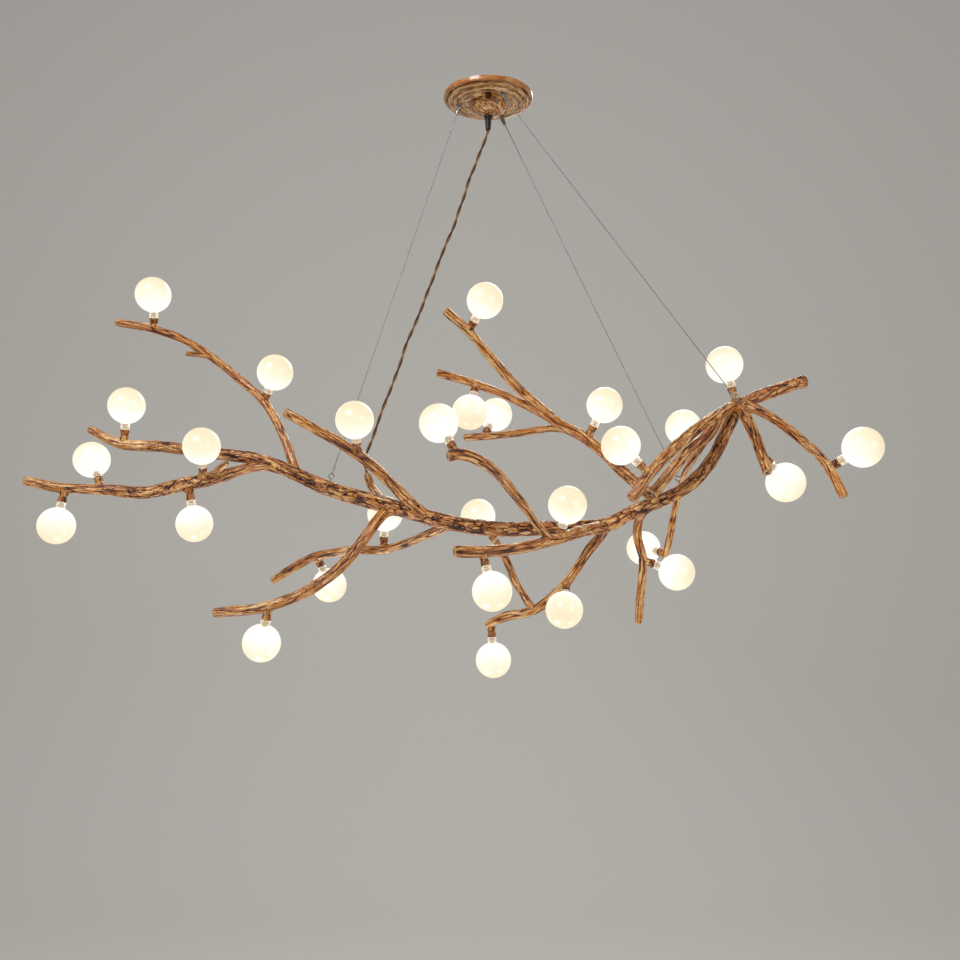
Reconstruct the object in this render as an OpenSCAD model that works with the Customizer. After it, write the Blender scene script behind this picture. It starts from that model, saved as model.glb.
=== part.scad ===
// Branch chandelier: a crooked cast trunk with forked side branches, hung from a round
// ceiling canopy by three steel wires, with 28 plug-in globe bulbs.
// Millimetres. Origin: middle of the mounting plane at the ceiling. +Z up, +X right, +Y back.

/* [Hanging] */
// Height of the ceiling above the middle of the trunk
hang = 725; // [700:1:760]
// Diameter of the suspension wires
wire_d = 1.5; // [1:0.1:1.8]
// Distance from a wire gripper's flange to the turned step round it
gripper_edge = 0.5; // [0.2:0.1:2]
// Diameter of the power cord
cord_d = 5.5; // [5:0.1:5.8]

/* [Canopy] */
// Outer diameter of the canopy
canopy_d = 150; // [146:1:170]
// Height of the canopy's outer band
canopy_band = 7; // [6:0.5:10]
// Drop of each of the two turned steps, also the radius of their rounded edge
step_drop = 4; // [3:0.25:5]
// Width of each turned step
step_w = 6; // [5.5:0.25:7]
// Diameter of the raised boss in the middle
boss_d = 62; // [50:1:66]
// Height of the boss
boss_h = 19; // [14:0.5:24]
// Wall of the canopy
canopy_wall = 1.6; // [1.2:0.1:2.4]
// Length of the boot of the cord grip
boot_len = 25; // [20:1:40]

/* [Ceiling bracket] */
// Length of the bracket bar
bracket_len = 110; // [104:1:120]
// Width of the bracket bar
bracket_w = 22; // [18:1:26]
// Thickness of the bracket bar
bracket_t = 2; // [1.5:0.1:3]
// Distance between the two ceiling screw holes
ceiling_hole_pitch = 64; // [60:1:68]
// Diameter of the ceiling screw holes
ceiling_hole_d = 5; // [4:0.1:6]
// Diameter of the cable hole in the bracket
cable_hole_d = 12; // [8:0.5:14]
// Distance between the two canopy studs
stud_pitch = 86; // [82:1:90]
// Diameter of the canopy studs
stud_d = 4; // [3.5:0.1:4.5]

/* [Bulbs and sockets] */
// Diameter of the glass globes
globe_d = 60; // [50:1:62]
// Wall of the glass
glass_wall = 1.2; // [1:0.1:1.6]
// Outer diameter of the glass neck
neck_d = 15; // [14:0.5:16]
// Length of the neck between socket and globe
neck_show = 10.5; // [8:0.5:12]
// Diameter of the bulb's ceramic base
base_d = 11.4; // [10.5:0.1:12]
// Depth that the base sits in the socket cup
base_in = 3; // [2.4:0.2:5]
// Gap all round between base and cup, and under base and neck
base_gap = 0.3; // [0.3:0.05:0.5]
// Wall of the socket cup
cup_wall = 0.9; // [0.7:0.1:1.4]
// Thickness of the cup's floor
cup_floor = 1.5; // [1:0.1:2.5]
// Height of the ceramic lamp holder
holder_h = 4.3; // [4.1:0.1:6]
// Distance between the two pins of a bulb
pin_pitch = 4; // [3.5:0.1:4.5]
// Diameter of the pins
pin_d = 0.8; // [0.6:0.05:1]
// Length of the pins
pin_len = 3.8; // [3:0.1:4]

/* [Branches] */
// Height of a socket stub above the bark
stub_rise = 1; // [0.5:0.5:4]
// Diameter of a socket stub at its flat end
stub_d = 11; // [9:0.5:12]
// Unevenness of the bark, as a share of the radius
bark = 0.05; // [0:0.01:0.08]
// Diameter of the spigots that locate the branches
spigot_d = 5; // [4:0.5:6]
// Length of the spigots
spigot_len = 7; // [5:0.5:9]
// Distance along the trunk from its left tip to its joint
trunk_joint = 715; // [700:5:725]

/* [Hidden] */
facing_gap = 0.2;            // gap round a located spigot, stud or shank
ring_step = 13;              // distance between the rings of a branch
sides = 9;                   // sides of a branch
tip_round = 2.5;             // length of the rounded edge at a sawn tip
tip_shrink = 0.78;           // share of the radius that is left at the tip's face
bulb_count = 28;
eye_r = 4;                   // screw eye: radius of its ring
eye_wire_r = 1;              // screw eye: radius of its wire
shank_r = 1.3;               // screw eye: radius of its shank
shank_len = 7;               // screw eye: length of its shank in the trunk
eye_rise = 9;                // height of the ring's middle above the bark
loop_r = 3.2;                // end loop of a wire: radius
loop_wire_r = 0.6;           // end loop of a wire: radius of the wire
link_gap = 0.15;             // gap between a loop and its eye
ferrule_len = 9;
barrel_d = 7;                // wire gripper: swivelling barrel
barrel_len = 10;
button_d = 4.6;              // wire gripper: release button
button_len = 6.5;
button_travel = 1.5;
button_seat = 2.5;           // how far a button reaches into its barrel
flange_d = 11;               // wire gripper: flange under the canopy
flange_h = 2;
thread_d = 6;                // wire gripper: thread through the canopy
thread_top = 4;              // height of the thread's end above the canopy's underside
gripper_nut_d = 10;
gripper_nut_h = 2.5;
swivel_drop = 4.5;           // middle of the barrel's ball, under the canopy
wire_room = 1.2;             // wire gripper: how much wider the wire's channel is
cup_lip = 0.5;               // socket cup: how far its rim and its foot stand out
cup_wiring_d = 3;            // socket cup: hole in its floor
pin_room = 0.8;              // lamp holder: how much wider its pin holes are
lamp_r = 3;                  // bulb: radius of the lamp inside
seal_h = 1.5;                // bulb: thickness of the glass that closes the neck's foot
stem_r = 4.3;                // bulb: part of the base that stands in the neck
stem_h = 6;
cord_room = 1.4;             // cord stub: how much wider its bore is
cord_bore_depth = 15;
grip_r = 7;                  // cord grip: radius at the boss
grip_shoulder = 4;           // cord grip: height of its straight part
grip_nut_r = 8;
grip_nut_h = 4;
grip_end_wall = 1.6;         // cord grip: wall at the tip of the boot
grip_thread_h = 6;           // cord grip: how far its thread stands up inside the boss
cap_nut_d = 9;
cap_nut_h = 8;
cap_nut_roof = 1.5;          // material over a cap nut's bore
stud_reach = 6;              // how far a stud reaches under the canopy
terminal_size = [30, 11, 10];
terminal_pitch = 10;
terminal_bore_d = 3.4;       // terminal block: wire entries
terminal_screw_d = 3;        // terminal block: holes over its screws
terminal_screws = [2.8, 8.2];
cord_step = 11;              // distance between the rings of the cord
cord_turn = 36;              // angle between its sides
$fn = 40;

// ---- Derived places ----
canopy_r = canopy_d / 2;
plateau_z = -(canopy_band + 2 * step_drop);      // underside of the canopy round the boss
boss_z = plateau_z - boss_h;                     // underside of the boss
plateau_r = canopy_r - 2 * step_w - 2 * step_drop;
gripper_circle_r = plateau_r - flange_d / 2 - gripper_edge;
grip_bore_r = 5;                                 // hole in the boss for the cord grip
cord_exit_z = boss_z - boot_len;
cup_bore_r = base_d / 2 + base_gap;
cup_h = cup_floor + holder_h + base_gap + base_in;
globe_r = globe_d / 2;
globe_rise = cup_h + neck_show + sqrt(pow(globe_r, 2) - pow(neck_d / 2, 2));

// ---- Routes: [x, y, height above the middle of the trunk, diameter] ----
trunk_route = [[-660, 15, 160, 12], [-605, 10, 135, 16], [-535, 10, 130, 18], [-465, 5, 120, 18],
    [-365, 0, 105, 20], [-260, -5, 60, 24], [-155, -5, 30, 25], [-65, 0, 5, 24], [10, 5, -5, 24],
    [75, 5, -5, 23], [185, 0, 0, 23], [230, -5, 20, 22], [300, -15, 50, 21], [335, -20, 75, 21],
    [362, -25, 110, 20], [385, -25, 155, 20], [405, -25, 195, 20]];
stump_route = [[405, -25, 195, 20], [455, -20, 215, 20], [515, -15, 235, 20]];
cord_stub_route = [[-160, -5, 27, 20], [-175, 10, 43, 16], [-192, 20, 63, 13], [-200, 20, 85, 11]];
upper_left_route = [[-310, 0, 77, 18], [-340, 22, 150, 14], [-378, 52, 210, 14], [-415, 65, 245, 14],
    [-465, 70, 285, 13], [-520, 65, 320, 13], [-575, 60, 340, 13], [-635, 55, 350, 12]];
upper_left_twig = [[-475, 70, 292, 9], [-490, 67, 296, 9], [-515, 60, 297, 8]];
lower_left_route = [[-330, 0, 90, 18], [-370, 0, 97, 15], [-405, 0, 90, 16], [-448, 2, 77, 20],
    [-498, 8, 68, 22], [-563, 14, 55, 20], [-635, 15, 60, 17], [-700, 5, 62, 16], [-755, 0, 73, 14]];
lower_left_twig = [[-459, 2, 76, 12], [-440, -8, 90, 10], [-424, -16, 100, 9]];
cord_side_route = [[-105, -5, 17, 20], [-130, -15, 40, 18], [-155, -30, 65, 17], [-190, -40, 97, 17],
    [-230, -50, 125, 16], [-275, -60, 150, 15], [-320, -65, 175, 14]];
front_left_route = [[-155, -5, 27, 20], [-170, -20, 17, 17], [-185, -40, -5, 17], [-205, -50, -35, 17],
    [-235, -55, -70, 17], [-270, -60, -97, 17], [-310, -60, -117, 16], [-360, -60, -132, 16],
    [-425, -60, -138, 15]];
rear_left_route = [[-60, 0, 3, 18], [-90, 20, -10, 15], [-145, 55, -30, 14], [-185, 80, -38, 14],
    [-230, 100, -37, 14], [-275, 115, -43, 14], [-305, 125, -50, 14], [-335, 130, -65, 14],
    [-375, 130, -90, 13]];
front_middle_route = [[190, 0, -2, 20], [150, -25, -10, 18], [110, -50, -23, 17], [70, -75, -33, 17],
    [25, -105, -42, 17], [-20, -130, -45, 17], [-50, -140, -45, 17]];
crook_route = [[100, -55, -27, 12], [72, -85, 0, 11], [60, -95, 17, 12], [35, -110, 47, 14],
    [10, -125, 75, 15], [-18, -135, 93, 16], [-42, -140, 100, 17], [-60, -145, 97, 18]];
lower_fork_route = [[190, 0, -2, 18], [183, 12, -17, 15], [165, 25, -40, 15], [142, 35, -75, 15],
    [122, 40, -100, 15], [90, 55, -130, 16], [65, 65, -143, 16], [30, 80, -150, 15], [0, 95, -165, 15]];
rising_twig_route = [[75, 60, -137, 13], [65, 65, -123, 12], [45, 80, -90, 12], [33, 90, -60, 12],
    [14, 100, -23, 12]];
tall_route = [[275, -10, 37, 22], [245, 10, 68, 19], [225, 20, 88, 19], [190, 35, 125, 18],
    [160, 38, 150, 18], [120, 38, 172, 17], [85, 35, 200, 17], [45, 28, 237, 16], [5, 18, 280, 15],
    [-32, 10, 323, 14], [-70, 0, 355, 14]];
tall_fork_route = [[120, 40, 172, 14], [95, 45, 188, 13], [65, 50, 205, 13], [30, 55, 223, 13],
    [-5, 60, 238, 13], [-45, 60, 252, 13], [-85, 60, 263, 13]];
tall_side_route = [[140, 40, 160, 13], [110, 55, 167, 12], [60, 90, 165, 12], [5, 120, 163, 12],
    [-40, 135, 162, 12]];
front_right_route = [[405, -25, 193, 20], [380, -42, 183, 18], [325, -80, 147, 18], [280, -100, 110, 18],
    [245, -115, 75, 17], [215, -120, 35, 17]];
inner_right_route = [[371, -48, 176, 15], [363, -44, 163, 16], [350, -42, 142, 17], [317, -48, 115, 17],
    [290, -52, 85, 17], [260, -55, 50, 16]];
falling_twig_route = [[350, -42, 142, 13], [340, -5, 117, 11], [328, 35, 90, 10], [325, 65, 63, 10],
    [320, 85, 33, 10], [315, 105, -10, 10], [307, 115, -50, 10]];
drop_route = [[252, -8, 28, 18], [245, 10, 5, 14], [245, 20, -20, 13], [255, 32, -55, 13],
    [255, 42, -90, 13], [252, 50, -125, 13], [250, 55, -158, 12]];
right_tip_route = [[405, -25, 193, 20], [428, -45, 183, 15], [455, -75, 157, 14], [480, -110, 123, 14],
    [498, -130, 97, 14], [510, -145, 70, 14], [522, -155, 37, 13]];
right_front_route = [[405, -25, 192, 20], [408, -60, 165, 17], [410, -105, 123, 16], [412, -150, 73, 14]];

// Distance along each side branch, from the trunk's middle, to the flat face where it seats
upper_left_seat = 32;
lower_left_seat = 85;
cord_side_seat = 52;
front_left_seat = 34;
rear_left_seat = 36;
front_middle_seat = 44;
lower_fork_seat = 26;
tall_seat = 28;
drop_seat = 24;
right_seat = 28;

// Power cord, from inside the cord grip to inside the cord stub: [x, y, z] under the ceiling
cord_route = [[0, 0, -45], [0, 0, -60], [-5, 0, -75], [-20, 0, -115], [-30, 0, -140], [-40, 5, -170],
    [-50, 5, -200], [-60, 5, -230], [-75, 5, -265], [-90, 10, -305], [-105, 10, -345], [-120, 10, -385],
    [-135, 10, -420], [-150, 15, -465], [-165, 15, -505], [-180, 15, -545], [-190, 20, -575],
    [-200, 20, -600], [-205, 20, -620], [-200, 20, -640], [-196, 20, -652]];

// Bulbs: [branch, distance along it, azimuth, elevation, extra height of the stub]
bulbs = [["upper_left", 398, -85, 75, 2], ["trunk", 66, -60, 80, 6], ["lower_left", 312, 140, 55, 5],
    ["lower_left", 140, -80, 50, 7], ["lower_left", 370, -155, -80, 5], ["lower_left", 166, 30, -80, 6],
    ["upper_left", 163, -50, 50, 1], ["cord_side", 146, -90, 50, 6], ["rear_left", 146, -60, 85, 4],
    ["rear_left", 276, 50, -60, 2], ["front_left", 264, 130, -70, 4], ["tall", 433, -45, 50, 2],
    ["crook", 221, 145, 55, 3], ["tall_fork", 160, -115, -65, 1], ["tall_side", 171, 55, 50, 1],
    ["rising_twig", 132, 175, 55, 2], ["tall", 164, -25, 60, 5], ["front_right", 224, 180, 45, 3],
    ["front_middle", 94, -75, 55, 3], ["front_middle", 241, -20, -75, 3], ["lower_fork", 274, 40, -85, 5],
    ["lower_fork", 117, -100, -45, 5], ["falling_twig", 45, 120, 55, 1], ["trunk", 1176, 160, 75, 14],
    ["right_front", 132, 20, -45, 4], ["right_tip", 195, -30, 30, 0], ["falling_twig", 255, 125, 10, 1],
    ["drop", 96, 0, -20, 3]];

// Wires: [angle at the canopy, distance along the trunk to the eye, direction of the eye]
wires = [[180, 418, [0.2, 0, 1]], [60, 1012, [-0.3, 0.1, 1]], [-60, 1176, [-0.25, -0.8, 0.55]]];

// ---- Geometry of a swept branch ----
function unit(v) = v / norm(v);
function place(p) = [p.x, p.y, p.z];
function bend(a, b, c, d, t) = 0.5 * (2 * b + (c - a) * t + (2 * a - 5 * b + 4 * c - d) * t * t
    + (3 * b - a - 3 * c + d) * t * t * t);
function with_ends(p) = concat([2 * p[0] - p[1]], p, [2 * p[len(p) - 1] - p[len(p) - 2]]);
function course(route, step) = let (q = with_ends(route)) concat([for (i = [1 : len(q) - 3])
    let (n = max(1, ceil(norm(place(q[i + 1]) - place(q[i])) / step)))
    for (k = [0 : n - 1]) bend(q[i - 1], q[i], q[i + 1], q[i + 2], k / n)], [q[len(q) - 2]]);
function hung(route) = [for (p = route) [p.x, p.y, p.z - hang, p[3]]];
function spine(route) = course(hung(route), ring_step);
function travelled(c, k) = k == 0 ? 0 : travelled(c, k - 1) + norm(place(c[k]) - place(c[k - 1]));
function ring_at(c, s, k = 0) = k == len(c) - 1 || travelled(c, k) >= s ? k : ring_at(c, s, k + 1);
function heading(c, k) = unit(place(c[min(k + 1, len(c) - 1)]) - place(c[max(k - 1, 0)]));
function point_at(c, s) = let (k = max(1, ring_at(c, s)), a = travelled(c, k - 1), b = travelled(c, k))
    c[k - 1] + (c[k] - c[k - 1]) * (s - a) / (b - a);
function uneven(i, j, seed) = let (x = sin(i * 127.1 + j * 311.7 + seed * 74.7) * 437.58)
    2 * (x - floor(x)) - 1;
function ring(c, k, seed, shrink = 1, ahead = 0) = let (t = heading(c, k), s = unit(cross(t, [0, 1, 0])),
    u = cross(s, t), r = c[k][3] / 2 * shrink)
    [for (j = [0 : sides - 1]) let (a = 360 * j / sides,
        grain = bark * (uneven(k, j, seed) + sin(2 * a + 40 * k + 90 * seed)))
        place(c[k]) + ahead * t + r * (1 + grain) * (cos(a) * s + sin(a) * u)];
function flatten(lists) = [for (l = lists) each l];

// Direction of a bulb from its azimuth and elevation
function aim(b) = [cos(b[3]) * cos(b[2]), cos(b[3]) * sin(b[2]), sin(b[3])];

// A solid through rings of points, flat at both ends
module skin(rings) {
    n = len(rings);
    m = len(rings[0]);
    walls = [for (k = [0 : n - 2]) for (j = [0 : m - 1])
        let (a = k * m + j, b = k * m + (j + 1) % m) each [[a, b, b + m], [a, b + m, a + m]]];
    caps = [[for (j = [m - 1 : -1 : 0]) j], [for (j = [0 : m - 1]) (n - 1) * m + j]];
    polyhedron(flatten(rings), concat(walls, caps));
}

// The part of a branch between two of its rings
module limb(c, from, to, seed, sawn = true) {
    body = [for (k = [from : to]) ring(c, k, seed)];
    face = [ring(c, to, seed, tip_shrink, tip_round)];
    skin(sawn ? concat(body, face) : body);
}

// Turns +Z to a direction
module along(dir) {
    d = unit(dir);
    rotate([0, acos(d.z), atan2(d.y, d.x)]) children();
}

// The fork that the trunk carries for a side branch, up to its seat
module fork(route, seat, seed) {
    c = spine(route);
    limb(c, 0, ring_at(c, seat), seed, sawn = false);
}

// The bore in the fork for the side branch's spigot
module fork_bore(route, seat) {
    c = spine(route);
    k = ring_at(c, seat);
    translate(place(c[k])) along(-heading(c, k))
        translate([0, 0, -1]) cylinder(d = spigot_d + 2 * facing_gap, h = spigot_len + 1 + facing_gap);
}

// A side branch from its seat to its tip, with its spigot
module side_branch(route, seat, seed) {
    c = spine(route);
    k = ring_at(c, seat);
    limb(c, k, len(c) - 1, seed);
    translate(place(c[k])) along(-heading(c, k))
        translate([0, 0, -4]) cylinder(d = spigot_d, h = spigot_len + 4);
}

module twig(route, seed) {
    c = spine(route);
    limb(c, 0, len(c) - 1, seed);
}

// ---- Bulbs and their sockets ----
function routes(name) = name == "trunk" ? trunk_route : name == "upper_left" ? upper_left_route
    : name == "lower_left" ? lower_left_route : name == "cord_side" ? cord_side_route
    : name == "front_left" ? front_left_route : name == "rear_left" ? rear_left_route
    : name == "front_middle" ? front_middle_route : name == "crook" ? crook_route
    : name == "lower_fork" ? lower_fork_route : name == "rising_twig" ? rising_twig_route
    : name == "tall" ? tall_route : name == "tall_fork" ? tall_fork_route
    : name == "tall_side" ? tall_side_route : name == "front_right" ? front_right_route
    : name == "falling_twig" ? falling_twig_route : name == "drop" ? drop_route
    : name == "right_tip" ? right_tip_route : right_front_route;
function root_of(b) = point_at(spine(routes(b[0])), b[1]);
function stub_top(b) = root_of(b)[3] / 2 + stub_rise + b[4];

// Puts a shape at a bulb's socket: z = 0 at the flat end of the stub
module at_socket(b) {
    translate(place(root_of(b))) along(aim(b)) translate([0, 0, stub_top(b)]) children();
}

// Socket stub of one bulb, and all those of one branch
module stub(b) {
    p = root_of(b);
    translate(place(p)) along(aim(b)) cylinder(d1 = p[3] - 1, d2 = stub_d, h = stub_top(b));
}

module stubs(name) {
    for (b = bulbs) if (b[0] == name) stub(b);
}

function bulb_name(i) = str("bulb_", i < 10 ? "0" : "", i);

// Glass globe with its neck, the ceramic base with its pins, and the lamp inside
module bulb(b) {
    neck_r = neck_d / 2;
    inner_neck_r = neck_r - glass_wall;
    inner_r = globe_r - glass_wall;
    middle = globe_rise;
    foot = cup_h + base_gap;
    bottom = cup_h - base_in;
    low = asin(neck_r / globe_r);
    inner_low = asin(inner_neck_r / inner_r);
    outside = [for (a = [low : (180 - low) / 18 : 180.001]) [globe_r * sin(a), middle - globe_r * cos(a)]];
    inside = concat([for (a = [180 : -(180 - inner_low) / 18 : inner_low - 0.001])
        [inner_r * sin(a), middle - inner_r * cos(a)]], [[inner_neck_r, foot + seal_h]]);
    lamp_top = middle - 2 * lamp_r;
    at_socket(b) color("ivory") {
        rotate_extrude($fn = 48)
            polygon(concat([[0, foot], [neck_r, foot]], outside, inside, [[0, foot + seal_h]]));
        translate([0, 0, bottom]) cylinder(d = base_d, h = foot + 1 - bottom);
        translate([0, 0, bottom]) cylinder(r = stem_r, h = foot + stem_h - bottom);
        translate([0, 0, bottom]) cylinder(r = lamp_r, h = lamp_top - bottom);
        translate([0, 0, lamp_top]) sphere(r = lamp_r);
        for (s = [-1, 1]) translate([s * pin_pitch / 2, 0, bottom - pin_len])
            cylinder(d = pin_d, h = pin_len + 1);
    }
}

// Metal cups on the ends of the stubs
module socket_cups() {
    cup_r = cup_bore_r + cup_wall;
    rim = [[cup_r, cup_h - 1.2], [cup_r + cup_lip, cup_h - 0.8], [cup_r + cup_lip, cup_h - 0.2],
        [cup_r, cup_h]];
    for (b = bulbs) at_socket(b) color("saddlebrown") difference() {
        rotate_extrude()
            polygon(concat([[0, 0], [stub_d / 2 + cup_lip, 0], [cup_r, 2]], rim, [[0, cup_h]]));
        translate([0, 0, cup_floor]) cylinder(r = cup_bore_r, h = cup_h);
        translate([0, 0, -1]) cylinder(d = cup_wiring_d, h = cup_floor + 2);
    }
}

// Ceramic two-pin lamp holders on the floors of the cups
module lamp_holders() {
    for (b = bulbs) at_socket(b) color("white") translate([0, 0, cup_floor]) difference() {
        cylinder(r = cup_bore_r - facing_gap, h = holder_h);
        for (s = [-1, 1]) translate([s * pin_pitch / 2, 0, -1])
            cylinder(d = pin_d + pin_room, h = holder_h + 2);
    }
}

// ---- Wires: places ----
trunk = spine(trunk_route);
function eye_root(w) = point_at(trunk, w[1]);
function eye_middle(w) = let (p = eye_root(w)) place(p) + (p[3] / 2 + eye_rise) * unit(w[2]);
function swivel(w) = [gripper_circle_r * cos(w[0]), gripper_circle_r * sin(w[0]),
    plateau_z - swivel_drop];
function pull(w) = unit(swivel(w) - eye_middle(w));
function eye_normal(w) = unit(cross(unit(w[2]), pull(w)));
function loop_middle(w) = eye_middle(w) + (eye_r - eye_wire_r - loop_wire_r - link_gap + loop_r) * pull(w);
function ferrule_base(w) = loop_middle(w) + (loop_r - 0.3) * pull(w);
function wire_start(w) = ferrule_base(w) + ferrule_len * pull(w);
function wire_end(w) = swivel(w) - (barrel_d / 2 + 1.5) * pull(w);

module eye_bore(w) {
    p = eye_root(w);
    translate(place(p)) along(w[2]) translate([0, 0, p[3] / 2 - shank_len - facing_gap])
        cylinder(r = shank_r + facing_gap, h = 20);
}

// ---- Branches ----
module trunk_left() {
    color("peru") difference() {
        union() {
            limb(trunk, 0, ring_at(trunk, trunk_joint), 1, sawn = false);
            twig(cord_stub_route, 2);
            fork(upper_left_route, upper_left_seat, 3);
            fork(lower_left_route, lower_left_seat, 4);
            fork(cord_side_route, cord_side_seat, 5);
            fork(front_left_route, front_left_seat, 6);
            fork(rear_left_route, rear_left_seat, 7);
            stub(bulbs[1]);
        }
        fork_bore(upper_left_route, upper_left_seat);
        fork_bore(lower_left_route, lower_left_seat);
        fork_bore(cord_side_route, cord_side_seat);
        fork_bore(front_left_route, front_left_seat);
        fork_bore(rear_left_route, rear_left_seat);
        trunk_bore();
        eye_bore(wires[0]);
        cord_bore();
    }
}

// The two halves of the trunk meet on a flat face, with a spigot twice as thick as the branches'
module trunk_bore() {
    k = ring_at(trunk, trunk_joint);
    translate(place(trunk[k])) along(-heading(trunk, k)) translate([0, 0, -1])
        cylinder(d = 2 * spigot_d + 2 * facing_gap, h = 2 * spigot_len + 1 + facing_gap);
}

module trunk_spigot() {
    k = ring_at(trunk, trunk_joint);
    translate(place(trunk[k])) along(-heading(trunk, k)) translate([0, 0, -4])
        cylinder(d = 2 * spigot_d, h = 2 * spigot_len + 4);
}

// The hole in the cord stub's tip that the cord goes into
module cord_bore() {
    c = spine(cord_stub_route);
    k = len(c) - 1;
    translate(place(c[k])) along(heading(c, k)) translate([0, 0, -cord_bore_depth])
        cylinder(d = cord_d + cord_room, h = cord_bore_depth + 10);
}

module trunk_right() {
    color("peru") difference() {
        union() {
            limb(trunk, ring_at(trunk, trunk_joint), len(trunk) - 1, 1, sawn = false);
            trunk_spigot();
            twig(stump_route, 8);
            fork(front_middle_route, front_middle_seat, 9);
            fork(lower_fork_route, lower_fork_seat, 10);
            fork(tall_route, tall_seat, 11);
            fork(drop_route, drop_seat, 12);
            fork(front_right_route, right_seat, 13);
            fork(right_tip_route, right_seat, 14);
            fork(right_front_route, right_seat, 15);
            stub(bulbs[23]);
        }
        fork_bore(front_middle_route, front_middle_seat);
        fork_bore(lower_fork_route, lower_fork_seat);
        fork_bore(tall_route, tall_seat);
        fork_bore(drop_route, drop_seat);
        fork_bore(front_right_route, right_seat);
        fork_bore(right_tip_route, right_seat);
        fork_bore(right_front_route, right_seat);
        eye_bore(wires[1]);
        eye_bore(wires[2]);
    }
}

module upper_left_branch() {
    color("peru") {
        side_branch(upper_left_route, upper_left_seat, 3);
        twig(upper_left_twig, 16);
        stubs("upper_left");
    }
}

module lower_left_branch() {
    color("peru") {
        side_branch(lower_left_route, lower_left_seat, 4);
        twig(lower_left_twig, 17);
        stubs("lower_left");
    }
}

module cord_side_branch() {
    color("peru") {
        side_branch(cord_side_route, cord_side_seat, 5);
        stubs("cord_side");
    }
}

module front_left_branch() {
    color("peru") {
        side_branch(front_left_route, front_left_seat, 6);
        stubs("front_left");
    }
}

module rear_left_branch() {
    color("peru") {
        side_branch(rear_left_route, rear_left_seat, 7);
        stubs("rear_left");
    }
}

module front_middle_branch() {
    color("peru") {
        side_branch(front_middle_route, front_middle_seat, 9);
        twig(crook_route, 18);
        stubs("front_middle");
        stubs("crook");
    }
}

module lower_fork_branch() {
    color("peru") {
        side_branch(lower_fork_route, lower_fork_seat, 10);
        twig(rising_twig_route, 19);
        stubs("lower_fork");
        stubs("rising_twig");
    }
}

module tall_branch() {
    color("peru") {
        side_branch(tall_route, tall_seat, 11);
        twig(tall_fork_route, 20);
        twig(tall_side_route, 21);
        stubs("tall");
        stubs("tall_fork");
        stubs("tall_side");
    }
}

module drop_branch() {
    color("peru") {
        side_branch(drop_route, drop_seat, 12);
        stubs("drop");
    }
}

module front_right_branch() {
    color("peru") {
        side_branch(front_right_route, right_seat, 13);
        twig(inner_right_route, 22);
        twig(falling_twig_route, 23);
        stubs("front_right");
        stubs("falling_twig");
    }
}

module right_tip_branch() {
    color("peru") {
        side_branch(right_tip_route, right_seat, 14);
        stubs("right_tip");
    }
}

module right_front_branch() {
    color("peru") {
        side_branch(right_front_route, right_seat, 15);
        stubs("right_front");
    }
}

// ---- Ceiling parts ----
module ceiling_bracket() {
    color("silver") {
        difference() {
            translate([-bracket_w / 2, -bracket_len / 2, -bracket_t])
                cube([bracket_w, bracket_len, bracket_t]);
            for (s = [-1, 1]) translate([0, s * ceiling_hole_pitch / 2, -bracket_t - 1])
                cylinder(d = ceiling_hole_d, h = bracket_t + 2);
            translate([0, 0, -bracket_t - 1]) cylinder(d = cable_hole_d, h = bracket_t + 2);
        }
        for (s = [-1, 1]) translate([0, s * stud_pitch / 2, plateau_z - stud_reach])
            cylinder(d = stud_d, h = stud_reach - plateau_z - 0.5);
    }
}

module terminal_block() {
    block = terminal_size;
    places = [for (i = [0 : 2]) (i + 0.5) * terminal_pitch];
    gap_y = (ceiling_hole_pitch - ceiling_hole_d + cable_hole_d) / 4;
    color("whitesmoke") translate([-block.x / 2, -gap_y - block.y / 2, -bracket_t - block.z]) difference() {
        cube(block);
        for (x = places) translate([x, -1, block.z / 2 - 1]) rotate([-90, 0, 0])
            cylinder(d = terminal_bore_d, h = block.y + 2);
        for (x = places) for (y = terminal_screws) translate([x, y, -1])
            cylinder(d = terminal_screw_d, h = 3);
    }
}

// Quarter-round edge of a turned step, from upright to level
function bead(r, z, b) = [for (a = [0 : 15 : 90]) [r - b + b * cos(a), z - b * sin(a)]];
function canopy_line(w) = concat([[canopy_r - w, 0]], bead(canopy_r - w, -canopy_band + 2 + w, 2),
    bead(canopy_r - step_w - w, -canopy_band + w, step_drop),
    bead(canopy_r - 2 * step_w - step_drop - w, -canopy_band - step_drop + w, step_drop),
    [for (a = [0 : 10 : 70]) [boss_d / 2 * cos(a) - (a > 0 ? w : 0),
        plateau_z + w - boss_h * sin(a) / sin(70)]]);

module canopy() {
    outer = canopy_line(0);
    inner = canopy_line(canopy_wall);
    color("sienna") difference() {
        rotate_extrude($fn = 96) polygon(concat([[0, boss_z + canopy_wall], [0, boss_z]],
            [for (i = [len(outer) - 1 : -1 : 0]) outer[i]], inner));
        translate([0, 0, boss_z - 1]) cylinder(r = grip_bore_r, h = boss_h);
        for (s = [-1, 1]) translate([0, s * stud_pitch / 2, plateau_z - 1])
            cylinder(d = stud_d + 2 * facing_gap, h = canopy_wall + 2);
        for (w = wires) translate([swivel(w).x, swivel(w).y, plateau_z - 1])
            cylinder(d = thread_d + 2 * facing_gap, h = canopy_wall + 2);
    }
}

// Knurled cap nuts that hold the canopy up
module canopy_nuts() {
    h = cap_nut_h;
    color("dimgray") for (s = [-1, 1]) translate([0, s * stud_pitch / 2, plateau_z - h]) difference() {
        union() {
            cylinder(d = cap_nut_d, h = h - 1);
            cylinder(d = cap_nut_d - 1.5, h = h);
            for (a = [0 : 30 : 330]) rotate(a) translate([cap_nut_d / 2 - 0.3, -0.5, 1])
                cube([0.7, 1, h - 3]);
        }
        translate([0, 0, cap_nut_roof]) cylinder(d = stud_d + 2 * facing_gap, h = h);
    }
}

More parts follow.
